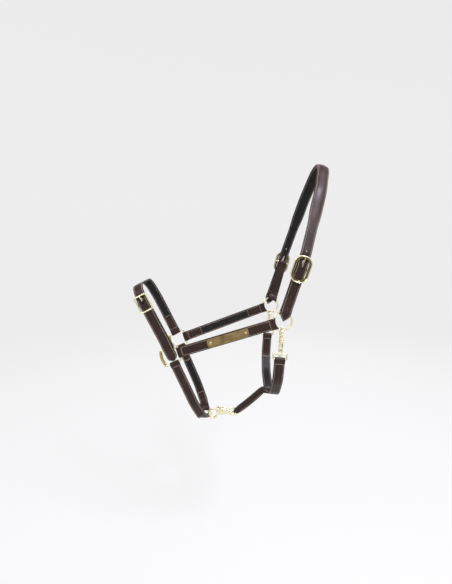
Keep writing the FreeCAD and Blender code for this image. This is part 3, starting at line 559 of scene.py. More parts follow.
    def lifted(self, s, across, top):
        """Points on a face, and the directions straight out of it."""
        level = self.face(s, across, top)
        points = self.place(s, across, level)
        above = self.place(s, across, level + (1.0 if top else -1.0))
        return points.reshape(-1, 3), unit_rows((above - points).reshape(-1, 3))

    def crossing(self, at):
        """The same, straight across the strap's outer face."""
        half = float(self.value(self.half, at)) - STITCH_INSET
        across = np.arange(-half, half, SEAM_STEP)
        points, normals = zip(*(self.lifted(np.array([at]), np.array([[b]]), True) for b in across))
        return np.concatenate(points), np.concatenate(normals)


def unit_rows(v):
    """Each row of vectors at unit length."""
    return v / np.linalg.norm(v, axis=1)[:, None]


def sew(shape, points, normals):
    """Lays plump, slightly slanted stitches along a line of points."""
    s = lengths(points)
    if len(s) < 4:
        return
    count, lean = max(1, int(round(s[-1] / STITCH_PITCH))), 0.16
    middles = (np.arange(count) + 0.5) * s[-1] / count

    def sample(array, at):
        return np.column_stack([np.interp(at, s, array[:, k]) for k in range(3)])

    centre, up = sample(points, middles), unit_rows(sample(normals, middles))
    along = unit_rows(sample(points, middles + 0.6) - sample(points, middles - 0.6))
    across = unit_rows(np.cross(up, along))
    along, across = unit_rows(along + lean * across), unit_rows(across - lean * along)
    reach = s[-1] / count * 0.43
    stations = ((-1.0, 0.16, -0.42), (-0.72, 0.40, -0.02), (0.0, 0.46, 0.14),
                (0.72, 0.40, -0.02), (1.0, 0.16, -0.42))
    angle = np.linspace(0, 2 * math.pi, 6, endpoint=False)
    rings = []
    for step, radius, rise in stations:
        core = centre + along * step * reach + up * rise
        rings.append(core[:, None] + radius * (
            np.cos(angle)[None, :, None] * across[:, None] + np.sin(angle)[None, :, None] * up[:, None]))
    verts = np.stack(rings, axis=1)
    faces = [face[::-1] for face in capped(len(stations), len(angle))]
    run = np.stack([np.broadcast_to((np.array([a for a, _, _ in stations]) * reach)[None, :, None],
                                    verts.shape[:3]) + middles[:, None, None],
                    np.broadcast_to(angle, verts.shape[:3]), 0 * verts[..., 0]], axis=-1)
    for i in range(count):
        shape.add(verts[i].reshape(-1, 3), faces, run[i].reshape(-1, 3))


def edge_rows(shape, strap, start, end, top=True):
    """Sews along both edges of a strap; distances below 0 count from its end."""
    start, end = strap.counted(start), strap.counted(end)
    for side in (-1, 1):
        sew(shape, *strap.row(start, end, side, top))


def cross_rows(shape, strap, *spots):
    """Sews straight across a strap at distances along it; those below 0 count from its end."""
    for spot in spots:
        sew(shape, *strap.crossing(strap.counted(spot)))


def ply(name, material, body, nodes, slot, mirror=False, **settings):
    """Builds one piece of leather; settings are the strap's."""
    strap = Strap(**settings)
    obj = strap.add_to(Shape()).build(name, material, body, nodes, slot, mirror)
    return strap, obj


# ---------------------------------------------------------------- materials
def socket_value(shader, **values):
    """Sets a node's sockets by their names, with _ for each space."""
    for key, value in values.items():
        shader.inputs[key.replace("_", " ")].default_value = value


class Finish:
    """A node material under construction."""

    def __init__(self, name, coordinates="run"):
        self.material = bpy.data.materials.new(name)
        self.material.use_nodes = True
        self.tree = self.material.node_tree
        self.shader = self.tree.nodes["Principled BSDF"]
        if coordinates == "run":
            source = self.node("ShaderNodeAttribute", attribute_name="run")
            self.where = source.outputs["Vector"]
        else:
            self.where = self.node("ShaderNodeTexCoord").outputs["Object"]

    def node(self, kind, **settings):
        node = self.tree.nodes.new(kind)
        for key, value in settings.items():
            setattr(node, key, value)
        return node

    def link(self, source, target):
        self.tree.links.new(source, target)

    def stretched(self, x, y, z):
        mapping = self.node("ShaderNodeMapping")
        mapping.inputs["Scale"].default_value = (x, y, z)
        self.link(self.where, mapping.inputs["Vector"])
        return mapping.outputs["Vector"]

    def noise(self, scale, detail=3.0, where=None):
        node = self.node("ShaderNodeTexNoise")
        socket_value(node, Scale=scale, Detail=detail, Roughness=0.55)
        self.link(where or self.where, node.inputs["Vector"])
        return node.outputs["Fac"]

    def cell_edges(self, scale):
        node = self.node("ShaderNodeTexVoronoi", feature="DISTANCE_TO_EDGE")
        socket_value(node, Scale=scale)
        self.link(self.where, node.inputs["Vector"])
        return node.outputs["Distance"]

    def ramp(self, source, stops):
        node = self.node("ShaderNodeValToRGB")
        ends = node.color_ramp.elements
        for _ in range(len(stops) - 2):
            ends.new(0.5)
        for element, (at, colour) in zip(ends, stops):
            element.position = at
            element.color = (*colour, 1)
        self.link(source, node.inputs["Fac"])
        return node.outputs["Color"]

    def mix(self, share, a, b):
        node = self.node("ShaderNodeMix", data_type="RGBA")
        for value, key in ((share, "Factor_Float"), (a, "A_Color"), (b, "B_Color")):
            target = next(s for s in node.inputs if s.identifier == key)
            if isinstance(value, (tuple, float)):
                target.default_value = (*value, 1) if isinstance(value, tuple) else value
            else:
                self.link(value, target)
        return next(s for s in node.outputs if s.identifier == "Result_Color")

    def span(self, source, low, high, start=0.0, stop=1.0):
        node = self.node("ShaderNodeMapRange")
        for key, value in (("From Min", start), ("From Max", stop), ("To Min", low), ("To Max", high)):
            node.inputs[key].default_value = value
        self.link(source, node.inputs["Value"])
        return node.outputs["Result"]

    def sum(self, a, b, share=1.0):
        node = self.node("ShaderNodeMath", operation="MULTIPLY_ADD")
        self.link(b, node.inputs[0])
        node.inputs[1].default_value = share
        self.link(a, node.inputs[2])
        return node.outputs[0]

    def bump(self, height, strength, distance):
        node = self.node("ShaderNodeBump")
        socket_value(node, Strength=strength, Distance=distance)
        self.link(height, node.inputs["Height"])
        self.link(node.outputs["Normal"], self.shader.inputs["Normal"])


def leather(name, dark, light, edge, roughness, grain=0.5, coat=0.2, sheen=0.0):
    """Grained leather, burnished along its edges, with soft blotches and fine creases."""
    f = Finish(name)
    blotches = f.noise(38.0, 4.0)
    fibres = f.noise(260.0, 3.0, f.stretched(0.35, 1.0, 1.0))
    colour = f.ramp(blotches, [(0.32, dark), (0.68, light)])
    colour = f.mix(f.span(fibres, 0.0, 0.5, 0.35, 0.75), colour, dark)
    rim = f.node("ShaderNodeAttribute", attribute_name="edge").outputs["Fac"]
    colour = f.mix(f.span(rim, 0.0, 0.92, 0.15, 0.8), colour, edge)
    f.link(colour, f.shader.inputs["Base Color"])
    pores = f.cell_edges(1250.0)
    pebble = f.span(pores, 0.0, 1.0, 0.0, 0.22)
    height = f.sum(pebble, f.noise(420.0, 4.0), 0.9)
    creases = f.noise(95.0, 2.0, f.stretched(1.9, 0.6, 1.0))
    height = f.sum(height, creases, 0.8)
    f.bump(height, grain, 0.00018)
    dull = f.sum(f.span(f.noise(60.0, 3.0), roughness - 0.07, roughness + 0.1, 0.3, 0.7), pebble, -0.05)
    f.link(dull, f.shader.inputs["Roughness"])
    socket_value(f.shader, Specular_IOR_Level=0.2, Coat_Weight=coat, Coat_Roughness=0.3)
    if sheen:
        socket_value(f.shader, Sheen_Weight=sheen, Sheen_Roughness=0.4)
    return f.material


def polished(f, patches, low, high, scale=1.0, strength=0.18):
    """Metal with fine polishing marks, duller where the patches are."""
    fine = f.noise(900.0, 3.0)
    f.link(f.span(f.sum(patches, fine, 0.5), low, high, 0.5, 1.0), f.shader.inputs["Roughness"])
    f.bump(f.sum(f.noise(240.0 * scale, 3.0), fine, 0.25), strength, 0.00012)
    socket_value(f.shader, Metallic=1.0)
    return f.material


def brass(name, pale, deep, roughness, tarnish=0.3, scale=1.0):
    """Polished cast brass with faint polishing marks and tarnish in patches."""
    f = Finish(name, "object")
    patches = f.noise(55.0 * scale, 4.0)
    colour = f.mix(f.span(patches, 0.0, tarnish, 0.42, 0.72), pale, deep)
    f.link(colour, f.shader.inputs["Base Color"])
    return polished(f, patches, roughness - 0.05, roughness + 0.14, scale)


def thread(name, colour, shade):
    """Waxed twisted thread."""
    f = Finish(name)
    twist = f.node("ShaderNodeTexWave", bands_direction="DIAGONAL")
    socket_value(twist, Scale=900.0, Distortion=1.5)
    f.link(f.where, twist.inputs["Vector"])
    f.link(f.mix(f.noise(700.0), colour, shade), f.shader.inputs["Base Color"])
    f.bump(twist.outputs["Fac"], 0.4, 0.0001)
    socket_value(f.shader, Roughness=0.55)
    return f.material


def shaded_brass(name, gold_and_shade_light, gold_and_shade_dark):
    """Pale brass that turns to a deeper colour by the mesh's edge value: gilt on the lower squares,
    near-black painted shade in a stepped buckle frame's groove and inner side.
    """
    f = Finish(name, "object")
    thick = f.node("ShaderNodeAttribute", attribute_name="edge").outputs["Fac"]
    patches = f.noise(70.0, 4.0)
    pale = f.mix(f.span(patches, 0.0, 0.35, 0.42, 0.72), (0.84, 0.77, 0.54), (0.55, 0.45, 0.22))
    # thick holds the edge value; on the stepped buckle frame it marks where painted shade goes, and the deep
    # colours there are near black.
    gold_and_shade = f.mix(f.span(patches, 0.0, 0.7, 0.35, 0.7), gold_and_shade_light, gold_and_shade_dark)
    f.link(f.mix(f.span(thick, 0.0, 1.0, 0.05, 0.6), pale, gold_and_shade), f.shader.inputs["Base Color"])
    return polished(f, patches, 0.16, 0.34, strength=0.2)


HAVANA = leather("havana_leather", (0.0115, 0.0048, 0.0034), (0.027, 0.0115, 0.0084),
                 (0.0040, 0.0022, 0.0018), 0.38, 0.45, 0.12)
BLACK = leather("black_lining", (0.0030, 0.0028, 0.0029), (0.0068, 0.0062, 0.0063),
                (0.0026, 0.0023, 0.0023), 0.50, 0.6, 0.04)
FELT = leather("padding_felt", (0.010, 0.009, 0.009), (0.022, 0.020, 0.020),
               (0.010, 0.009, 0.009), 0.85, 0.8, 0.0, 0.2)
BRASS = brass("pale_brass", (0.86, 0.80, 0.56), (0.60, 0.50, 0.26), 0.17)
GILT = brass("tongue_brass", (0.50, 0.42, 0.20), (0.26, 0.20, 0.08), 0.26, 0.6)
PLATE = brass("aged_plate_brass", (0.30, 0.215, 0.10), (0.105, 0.070, 0.030), 0.36, 0.9, 1.4)
GILT_TO_PALE = shaded_brass("square_brass", (0.58, 0.47, 0.17), (0.26, 0.20, 0.06))
# Painted shade: near-black deep colours that darken the stepped buckle frame's groove and inner side.
STEPPED_BRASS_PAINTED_SHADE = shaded_brass("stepped_brass_painted_shade", (0.155, 0.125, 0.055), (0.055, 0.042, 0.018))
PLATE_RIVET = brass("rivet_brass", (0.60, 0.46, 0.22), (0.36, 0.25, 0.10), 0.30, 0.5)
STEEL = brass("spring_steel", (0.62, 0.62, 0.62), (0.40, 0.39, 0.37), 0.28, 0.4)
THREAD = thread("waxed_thread", (0.44, 0.34, 0.26), (0.26, 0.19, 0.14))


def lined_strap(name, body, plane, points, inside, width, rows, spots, mirror=False, wave=0.1,
                **settings):
    """Folded strap with a lining between its tails, and their seams: rows (start, end) along the
    strap's edges and spots where it is sewn across. The wave is the lining's."""
    strap, _ = ply(f"{name}_strap_leather", HAVANA, body, (f"{name}_strap",), "leather", mirror,
                   plane=plane, points=points, width=width, dome=(0.3, 0.3), groove=(0.24, 0.0),
                   **settings)
    lining, _ = ply(f"{name}_lining_leather", BLACK, body, (f"{name}_lining",), "lining", mirror,
                    plane=plane, points=inside, width=width - 0.3, low=-LINING / 2,
                    high=LINING / 2 - 0.05, dome=(0.3, 0.3), wave=wave)
    seams = Shape()
    for start, end in rows:
        edge_rows(seams, strap, start, end)
    cross_rows(seams, strap, *spots)
    edge_rows(seams, lining, 1.5, -1.5, False)
    seams.build(f"{name}_stitching", THREAD, body, mirror=mirror)


# ---------------------------------------------------------------- buckles and chapes
# Section of a stepped frame (inwards, up): a higher outer ridge, a groove and a low inner step,
# and how much painted shade darkens each of its points, most in the groove and on the inner side.
STEPPED = np.array([(-2.3, -1.3), (-2.55, -0.2), (-2.35, 0.95), (-1.7, 1.7), (-0.8, 1.9), (-0.1, 1.35),
                    (0.35, 0.45), (0.8, 0.1), (1.3, 0.3), (1.9, 0.55), (2.6, 0.3), (2.95, -0.35),
                    (2.75, -1.2), (2.2, -1.6), (-1.6, -1.65)])
STEP_PAINTED_SHADE = (0.1, 0, 0, 0, 0, 0.25, 0.9, 1.0, 0.75, 0.45, 0.7, 0.9, 0.9, 0.6, 0.3)
FOLDED = 26.0  # half the length of strap that a ring's curve shapes


def buckle(prefix, plane, size, sunk, body, tongue_body, mirror=False):
    """Frame standing outwards of its sunk bar, and the tongue that turns on that bar.
    The plane's x runs along the strap from the bar, its y outwards from the horse;
    size is (half length, half width, corner radius) and picks a stepped or a plain frame."""
    (half_l, half_w, corner), lift, stepped = size, 8.0, size[2] > 5
    flat = plane.stood(0, lift, 0, (1, 0, 0), (0, 0, -1))
    outline = rounded_box((-half_l, -half_w), (half_l, half_w), corner, 6.0)
    section = STEPPED if stepped else oval(1.6, 1.5, 14, 3.0)
    shape = bar(Shape(), flat, outline, section, closed=True,
                inner=1.0 + 0.62 * np.abs(headings(outline, True)[:, 0]) if stepped else 1.0)
    # Painted shade: a stepped frame's groove, inner side and underside take a near-black colour through its
    # edge value.
    if stepped:
        shape.edge = [np.tile(STEP_PAINTED_SHADE, len(outline))]
    upright = plane.stood(0, 0, 0, (0, 0, 1), (0, 1, 0))
    arm = rounded([(-half_w, lift - 0.4, 0), (-sunk - 0.6, 0, 2.6), (sunk + 0.6, 0, 2.6),
                   (half_w, lift - 0.4, 0)])
    bar(shape, upright, arm, oval(1.7, 1.7, 14))
    shape.build(f"{prefix}_buckle_frame_cast", STEPPED_BRASS_PAINTED_SHADE, body, (f"{prefix}_buckle_frame",),
                "brass", mirror)
    grip = 1.6
    clear = WIRE + grip + BAR_GAP
    hyp = math.hypot(lift, half_l)
    rise = math.atan2(lift, half_l) + math.asin(clear / hyp)
    turn = plane.moved(0, 0, (math.cos(rise), math.sin(rise)))
    tongue = Shape()
    circle = rounded([(3, -3, 3), (3, 3, 3), (-3, 3, 3), (-3, -3, 3)], True, 15.0)
    bar(tongue, turn, circle, oval(0.88, grip, 14, 3.0), closed=True)
    reach = hyp + 1.6
    shaft = rounded([(2.6, 0, 0), (8, 0.3, 60), (reach - 5, 0.1, 30), (reach, -0.5, 0)], step=1.5)
    taper = np.interp(lengths(shaft), (0, 5, reach - 8, reach - 2.6), (1.0, 1.05, 0.9, 0.76))
    bar(tongue, turn, shaft, oval(1.45, grip, 14, 2.6), taper, nose=(0, 1.5))
    tongue.build(f"{prefix}_buckle_tongue_forged", GILT if stepped else BRASS, tongue_body,
                 (f"{prefix}_buckle_tongue",), "brass", mirror)


def chape(prefix, plane, length, body, mirror=False, curved=False):
    """Strap folded round the buckle's bar above and a ring or bar below, its ends butted inside."""
    foot, top, low = -length, WIRE + BAR_GAP + CHAPE / 2, WIRE + FOLD_GAP + CHAPE / 2
    mid, butt = CHAPE / 2, foot + 17.0
    points = [(butt, -mid, 0), (-10, -mid, 11), (-3.3, -top, 9), (top, -top, top), (top, top, top),
              (-3.3, top, 9), (-10, mid, 11), (foot + 11, mid, 11), (foot + 3.3, low, 9),
              (foot - low, low, low), (foot - low, -low, low), (foot + 3.3, -low, 9),
              (foot + 11, -mid, 11), (butt - 0.4, -mid, 0)]
    folds = [((-1, 0), RING, (0, 0), FOLDED)] if curved else []
    strap, obj = ply(f"{prefix}_chape_leather", HAVANA, body, (f"{prefix}_chape",), "leather", mirror,
                     plane=plane, points=points, width=WIDTH, low=-mid, high=mid, folds=folds,
                     dome=(0.18, 0.18), groove=(0.22, 0.0), phase=1.7)
    slot = bar(Shape(), plane, [(-6.5, 0), (6.5, 0)], oval(9.0, 2.1, 24, 6.0))
    punched(obj, [flipped(slot) if mirror else slot])
    seams = Shape()
    inner = -butt - 12
    outer = inner + 19 + math.pi * top
    edge_rows(seams, strap, 2.0, inner)
    edge_rows(seams, strap, outer, outer + length - 27)
    cross_rows(seams, strap, 2.6, -3.0, outer + length - 28)
    seams.build(f"{prefix}_chape_stitching", THREAD, body, mirror=mirror)


# ---------------------------------------------------------------- crown
def mirrored(half, middle):
    """Path over the middle from its near half, its middle corner and the same half mirrored."""
    return half + middle + [(-x, y, r) for x, y, r in reversed(half)]


def by_bar(bar_at, up, along, out):
    """Point at a distance up a strap from its buckle's bar and outwards of it."""
    return (bar_at[0] + along * up[0] - out * up[1], bar_at[1] + along * up[1] + out * up[0])


def strap_plane(base, at, up):
    """Plane on a near strap: x up along it, y outwards from the horse, z towards the nose."""
    return Plane(base.at(*at), up[0] * base.x + up[1] * base.y, up[0] * base.y - up[1] * base.x)


def strap_holes(plane, slot_end, spares=(), mirror=False):
    """Cutters for a billet's slot over the buckle's bar and its spare holes further up."""
    flat = plane.stood(0, 0, 0, (1, 0, 0), (0, 0, -1))
    cutters = [capsule_cutter(flat, 1.5, slot_end, HOLE, -12.0, 12.0, 4.0)]
    for spot in spares:
        stood = plane.stood(spot, 0, 0, (1, 0, 0), (0, 0, -1))
        cutters.append(lathe(Shape(), stood, [(SPARE_HOLE, -12.0), (SPARE_HOLE, 12.0)], 18))
    return [flipped(cutter) for cutter in cutters] if mirror else cutters


def crown():
    plane = leaning(0, 0, LEAN["crown"])
    ring_v = -math.hypot(RING_AT[0], RING_AT[2])
    foot, bar_at = (RING_AT[1], ring_v + RING), (-98.0, -229.5)
    length = math.dist(foot, bar_at)
    up = unit(np.subtract(bar_at, foot))
    billet = [(*by_bar(bar_at, up, a, o), r) for a, o, r in [
        (-114, 4.8, 0), (-92, 4.8, 8), (-84, 2.2, 8), (-13, 2.2, 8), (-5, 4.5, 8), (5, 4.5, 8),
        (16, 2.0, 12), (32, -0.5, 40)]]
    shoulder, apex = (-68.0, -62.0, 110.0), (0.0, 48.9, 45.0)
    path = mirrored(billet + [shoulder], [apex])
    padding_foot = -137.0
    share = (padding_foot - billet[-1][1]) / (shoulder[1] - billet[-1][1])
    pad_start = (billet[-1][0] + share * (shoulder[0] - billet[-1][0]), padding_foot, 0)
    padded = mirrored([pad_start, shoulder], [apex])
    at = distance_to(path, *pad_start[:2])
    wide, bow = PADDED + 0.4, 2.6
    strap, obj = ply(
        "crown_strap_leather", HAVANA, "crown", ("crown_strap",), "leather",
        plane=plane, points=path, low=symmetric((0, LINING), (at, LINING), (at + 40, LINING + 0.3)),
        high=symmetric((0, COVER), (at, COVER), (at + 40, COVER + 0.5)),
        width=symmetric((0, WIDTH), (at - 6, WIDTH), (at + 26, wide)),
        dome=[symmetric((0, 0.25), (at - 4, 0.25), (at + 34, bow))] * 2,
        power=2.2, tips=(("point", 17.0), ("point", 17.0)), wave=0.06,
        drift=[(0, 0), (-110, 0), (-60, -3.0), (-0.01, -6.5)])
    near = strap_plane(plane, bar_at, up)
    slot_end, spares = 16.5, (37.0, 74.0)
    punched(obj, strap_holes(near, slot_end, spares) + strap_holes(near, slot_end, spares, True))
    seams = Shape()
    edge_rows(seams, strap, 1.5, -1.5)
    seams.build("crown_strap_stitching", THREAD, "crown")

    swell = symmetric((0, -1.3), (14, -2.2), (50, -7.8))
    above = [(s, v + LINING) for s, v in swell]
    puff = symmetric((0, -0.3), (20, -1.6), (55, -5.1))
    under, _ = ply("crown_lining_cover", BLACK, "crown", ("crown_lining",), "lining",
                   plane=plane, points=padded, width=symmetric((0, WIDTH), (32, wide - 0.5)),
                   low=swell, high=above, dome=(puff, puff), power=2.7, wave=0.0,
                   tips=(("round", 9.0), ("round", 9.0)), phase=0.6)
    lining_rows = Shape()
    edge_rows(lining_rows, under, 3.0, -3.0, False)
    lining_rows.build("crown_lining_stitching", THREAD, "crown")
    roll = symmetric((0, 0.25), (34, bow))
    _, stuffing = ply("crown_padding_roll", FELT, "crown", ("crown_padding",), "padding",
                      plane=plane, points=padded, width=symmetric((0, WIDTH - 4), (32, wide - 3)),
                      low=above, high=LINING, dome=(roll, puff), power=2.7, groove=(0, 0), wave=0.0,
                      tips=(("round", 9.0), ("round", 9.0)))

    for side, mirror in SIDES:
        lining, obj = ply(f"{side}_crown_billet_lining_leather", BLACK, "crown",
                          (f"{side}_crown_billet_lining",), "lining", mirror,
                          plane=plane, points=billet + [pad_start], width=WIDTH - 0.4, low=0.0,
                          high=LINING, tips=(("point", 17.0), None), wave=0.06,
                          drift=[(0, -6.5), (60, -3.0), (110, 0)] if mirror else 0.0)
        punched(obj, strap_holes(near, slot_end, spares, mirror))
        rows = Shape()
        edge_rows(rows, lining, 1.5, -4.0, False)
        rows.build(f"{side}_crown_billet_stitching", THREAD, "crown", mirror=mirror)
        chape(f"{side}_crown", near, length, "crown", mirror, curved=True)
        buckle(f"{side}_crown", near, (26.0, 16.5, 15.0), 13.6, "crown", f"{side}_crown_tongue", mirror)


# ---------------------------------------------------------------- lower squares
def on_square(along, down):
    """Point of the squares' plane, seen from the side, from the square's middle."""
    a = math.radians(SQUARE_TILT)
    c, s = math.cos(a), math.sin(a)
    return np.array((SQUARE_AT[0] + along * c + down * s, SQUARE_AT[1] + along * s - down * c))


def meet(p, d, q, e):
    """Where the line from p along d crosses the line from q along e."""
    det = d[0] * e[1] - d[1] * e[0]
    return p + np.array(d) * (((q[0] - p[0]) * e[1] - (q[1] - p[1]) * e[0]) / det)


HALF_A, HALF_B = 17.5, 18.0
TOP_MID, FOOT_MID = on_square(0, -HALF_B), on_square(0, HALF_B)
REAR_MID, FRONT_MID = on_square(HALF_A, 0), on_square(-HALF_A - 1.5, 0)


def up_way(degrees):
    """Unit vector (x, z) that leans backwards from straight up."""
    a = math.radians(degrees)
    return np.array((math.sin(a), math.cos(a)))


def squares():
    nose, chin = up_way(LEAN["nose"]), up_way(LEAN["chin"])
    count = 18
    rise = math.radians(CHEEK_RISE)
    across = {"nose": (nose[1], -nose[0]), "chin": (chin[1], -chin[0]),
              "cheek": (-math.sin(rise), math.cos(rise)), "front": on_square(0, -1) - on_square(0, 0)}
    corners = [meet(TOP_MID, across["nose"], FRONT_MID, across["front"]),
               meet(FOOT_MID, across["chin"], FRONT_MID, across["front"]),
               meet(FOOT_MID, across["chin"], REAR_MID, across["cheek"]),
               meet(TOP_MID, across["nose"], REAR_MID, across["cheek"])]
    bow = on_square(-HALF_A - 4.5, 0)
    outline = rounded([(*corners[0], 5.0), (*bow, 30.0), (*corners[1], 5.0), (*corners[2], 4.0),
                       (*corners[3], 4.0)], True, 6.0, 1.2)
    thick = smooth((22.0 - np.hypot(*(outline - bow).T)) / 12.0)
    for side, mirror in SIDES:
        plane = Plane((0, -SQUARE_Y, 0), (1, 0, 0), (0, 0, 1))
        shape = bar(Shape(), plane, outline, oval(WIRE, WIRE, count), 1.0 + 0.62 * thick, closed=True)
        shape.edge = [np.repeat(thick, count)]
        shape.build(f"{side}_lower_square_cast", GILT_TO_PALE, "muzzle", (f"{side}_lower_square",),
                    "brass", mirror)


# ---------------------------------------------------------------- cheeks and nameplate
PLATE_MID, PLATE_LENGTH, PLATE_WIDTH, RIVET_PITCH = 111.0, 92.0, 19.0, 78.0


def cheeks():
    rise = math.radians(CHEEK_RISE)
    start = np.array((REAR_MID[0], -SQUARE_Y, REAR_MID[1]))
    end = np.array((RING_AT[0] - RING * math.cos(rise), RING_AT[1], RING_AT[2] - RING * math.sin(rise)))
    length = float(np.linalg.norm(end - start))
    along = unit(end - start)
    width_way = np.array((-math.sin(rise), 0, math.cos(rise)))
    out = np.cross(along, width_way)
    out = out * (-1 if out[1] > 0 else 1)
    plane = Plane(start, along, out)
    tail, mid, inner = 45.0, TOP_PLY / 2, -LINING / 2
    run = [(0, 0, 0), (length, 0, 0)]
    tails = [[(0, 0, 0), (tail, 0, 0)], [(length, 0, 0), (length - tail, 0, 0)]]
    path = turned_both(run, mid, WIRE + FOLD_GAP + mid, tails, inner)
    fold = tail + 8.0
    for side, mirror in SIDES:
        lined_strap(f"{side}_cheek", "muzzle", plane, path,
                    [(tail - 2, inner, 0), (length - tail + 2, inner, 0)], WIDTH,
                    rows=((1.6, tail - 9), (fold + 11, -fold - 11), (9 - tail, -1.6)),
                    spots=(2.6, tail - 8.5, fold + 10.5, -fold - 10.5, 8.5 - tail, -2.6),
                    mirror=mirror, wave=0.0, phase=2.9 + mirror, folds=[((1, 0), RING, (0, 0), FOLDED)],
                    low=symmetric((0, -0.5), (34, -1.05), (60, -1.1)),
                    high=symmetric((0, 0.6), (34, 1.0), (60, 1.1)))
    nameplate(plane)


def nameplate(plane):
    """Blank plate with rounded corners and a soft rim, held by two domed rivets."""
    face = plane.stood(PLATE_MID, TOP_PLY, 0, (1, 0, 0), (0, 0, -1))
    rings = []
    for inset, z in ((0.3, -0.05), (0.0, 0.25), (0.0, 0.85), (0.22, 1.1), (0.6, 1.2), (1.5, 1.2),
                     (1.75, 1.06), (2.1, 1.06), (2.35, 1.2), (4.0, 1.22)):
        half_l, half_w = PLATE_LENGTH / 2 - inset, PLATE_WIDTH / 2 - inset
        line = rounded_box((-half_l, -half_w), (half_l, half_w), max(6.0 - inset, 1.0), 9.0, 400.0)
        rings.append(face.at(line[:, 0], line[:, 1], z))
    shape = Shape().add(np.concatenate(rings), capped(len(rings), len(rings[0])))
    shape.build("nameplate_blank", PLATE, "muzzle", ("nameplate",), "plate", sharp=30)
    rivets = Shape()
    dome = [(0.9, -4.9), (2.7, -4.8), (2.7, -4.2), (1.2, -4.1), (1.2, -0.1), (2.75, -0.05), (2.95, 0.15),
            (2.85, 0.4), (2.5, 0.75), (1.9, 1.05), (1.1, 1.25), (0.35, 1.32)]
    for end in (-1, 1):
        stood = plane.stood(PLATE_MID + end * RIVET_PITCH / 2, TOP_PLY + 1.2, 0, (1, 0, 0), (0, 0, -1))
        lathe(rivets, stood, dome, 24)
    rivets.build("nameplate_rivets_domed", PLATE_RIVET, "muzzle", ("nameplate_rivets",), "plate")


# ---------------------------------------------------------------- noseband
def noseband():
    plane = leaning(*TOP_MID, LEAN["nose"])
    bar_at, foot = (-61.0, 109.0), (-SQUARE_Y, 0.0)
    length = math.dist(bar_at, foot)
    up = unit(np.subtract(bar_at, foot))
    billet = [(*by_bar(bar_at, up, a, o), r) for a, o, r in [
        (-138, 4.9, 0), (-102, 4.9, 8), (-94, 2.2, 8), (-13, 2.2, 8), (-5, 4.5, 8), (5, 4.5, 8),
        (14, 1.0, 10)]]
    path = billet + [(-50.0, 147.0, 27.0), (50.0, 147.0, 27.0), (61.0, 100.0, 70.0), (SQUARE_Y, 0.0, 0)]
    tail = 48.0
    tail_stop = (SQUARE_Y + 0.03 * tail, tail, 0)
    mid = LINING + TOP_PLY / 2
    back = turned_back(path[::-1], -mid, WIRE + FOLD_GAP + TOP_PLY / 2, [path[-1], tail_stop], 0.3, 12.0)
    strap, obj = ply("noseband_strap_leather", HAVANA, "muzzle", ("noseband_strap",), "leather",
                     plane=plane, points=back[::-1], width=WIDTH,
                     low=[(0, -1.1), (-34, -1.05), (-0.01, -0.5)],
                     high=[(0, 1.1), (-34, 1.0), (-0.01, 0.6)],
                     tips=(("round", 12.0), None), dome=(0.3, 0.3), groove=(0.24, 0.0), phase=0.8)
    near, slot_end = strap_plane(plane, bar_at, up), 10.0
    punched(obj, strap_holes(near, slot_end))
    lining, obj = ply("noseband_lining_leather", BLACK, "muzzle", ("noseband_lining",), "lining",
                      plane=plane, points=path[:-1] + [tail_stop], width=WIDTH - 0.3, low=0.0,
                      high=LINING - 0.05, tips=(("round", 12.0), None), dome=(0.3, 0.3), phase=0.8)
    punched(obj, strap_holes(near, slot_end))
    seams = Shape()
    fold = tail + 17.0
    edge_rows(seams, strap, 1.2, -fold)
    edge_rows(seams, strap, 12 - tail, -1.6)
    cross_rows(seams, strap, -fold, 11.5 - tail, -2.6)
    edge_rows(seams, lining, 1.5, -2.0, False)
    seams.build("noseband_stitching", THREAD, "muzzle")
    chape("noseband", near, length, "muzzle")
    buckle("noseband", near, (17.5, 13.4, 3.0), 13.0, "muzzle", "noseband_tongue")


# ---------------------------------------------------------------- chin
CHIN_DROP = 148.0
CHIN_RING_AT = FOOT_MID - up_way(LEAN["chin"]) * CHIN_DROP
CHIN_SNAP_AT = (CHIN_RING_AT[0] + CHIN_RING + 2.8, CHIN_RING_AT[1] + 1.6)


def chin_straps():
    plane = leaning(*FOOT_MID, LEAN["chin"])
    path = [(-CHIN_RING, -CHIN_DROP, 0), (-35.0, -CHIN_DROP + 11.5, 20.0), (-51.0, -100.0, 60.0),
            (-SQUARE_Y, 0, 0)]
    turn_in, turn_up = along_run(path, 1, 0.55), along_run(path, 2, 0.6)
    tails = [path[:2] + [turn_in], [path[3], turn_up]]
    mid, inner = TOP_PLY / 2, -LINING / 2
    points = turned_both(path, mid, WIRE + FOLD_GAP + mid, tails, inner, (8.5, 10.0))
    skew = math.tan(math.radians(LEAN["chin"]))
    lower = distance_to(points, -CHIN_RING + 4.0, -CHIN_DROP)
    upper_tail, lower_tail = 47.58, 30
    for side, mirror in SIDES:
        lined_strap(f"{side}_chin", "muzzle", plane, points,
                    offset_path([turn_in, path[2], turn_up], inner), CHIN_WIDTH,
                    rows=((1.6, lower - 15), (lower + 13, -upper_tail - 11), (-lower_tail, -1.6)),
                    spots=(2.6, lower + 13, -upper_tail - 10.5, -lower_tail, -2.6),
                    mirror=mirror, phase=4.1 + mirror,
                    folds=[((1, 0), CHIN_RING - 1.5, (0, skew), FOLDED - 2)], **skived(30, 34))


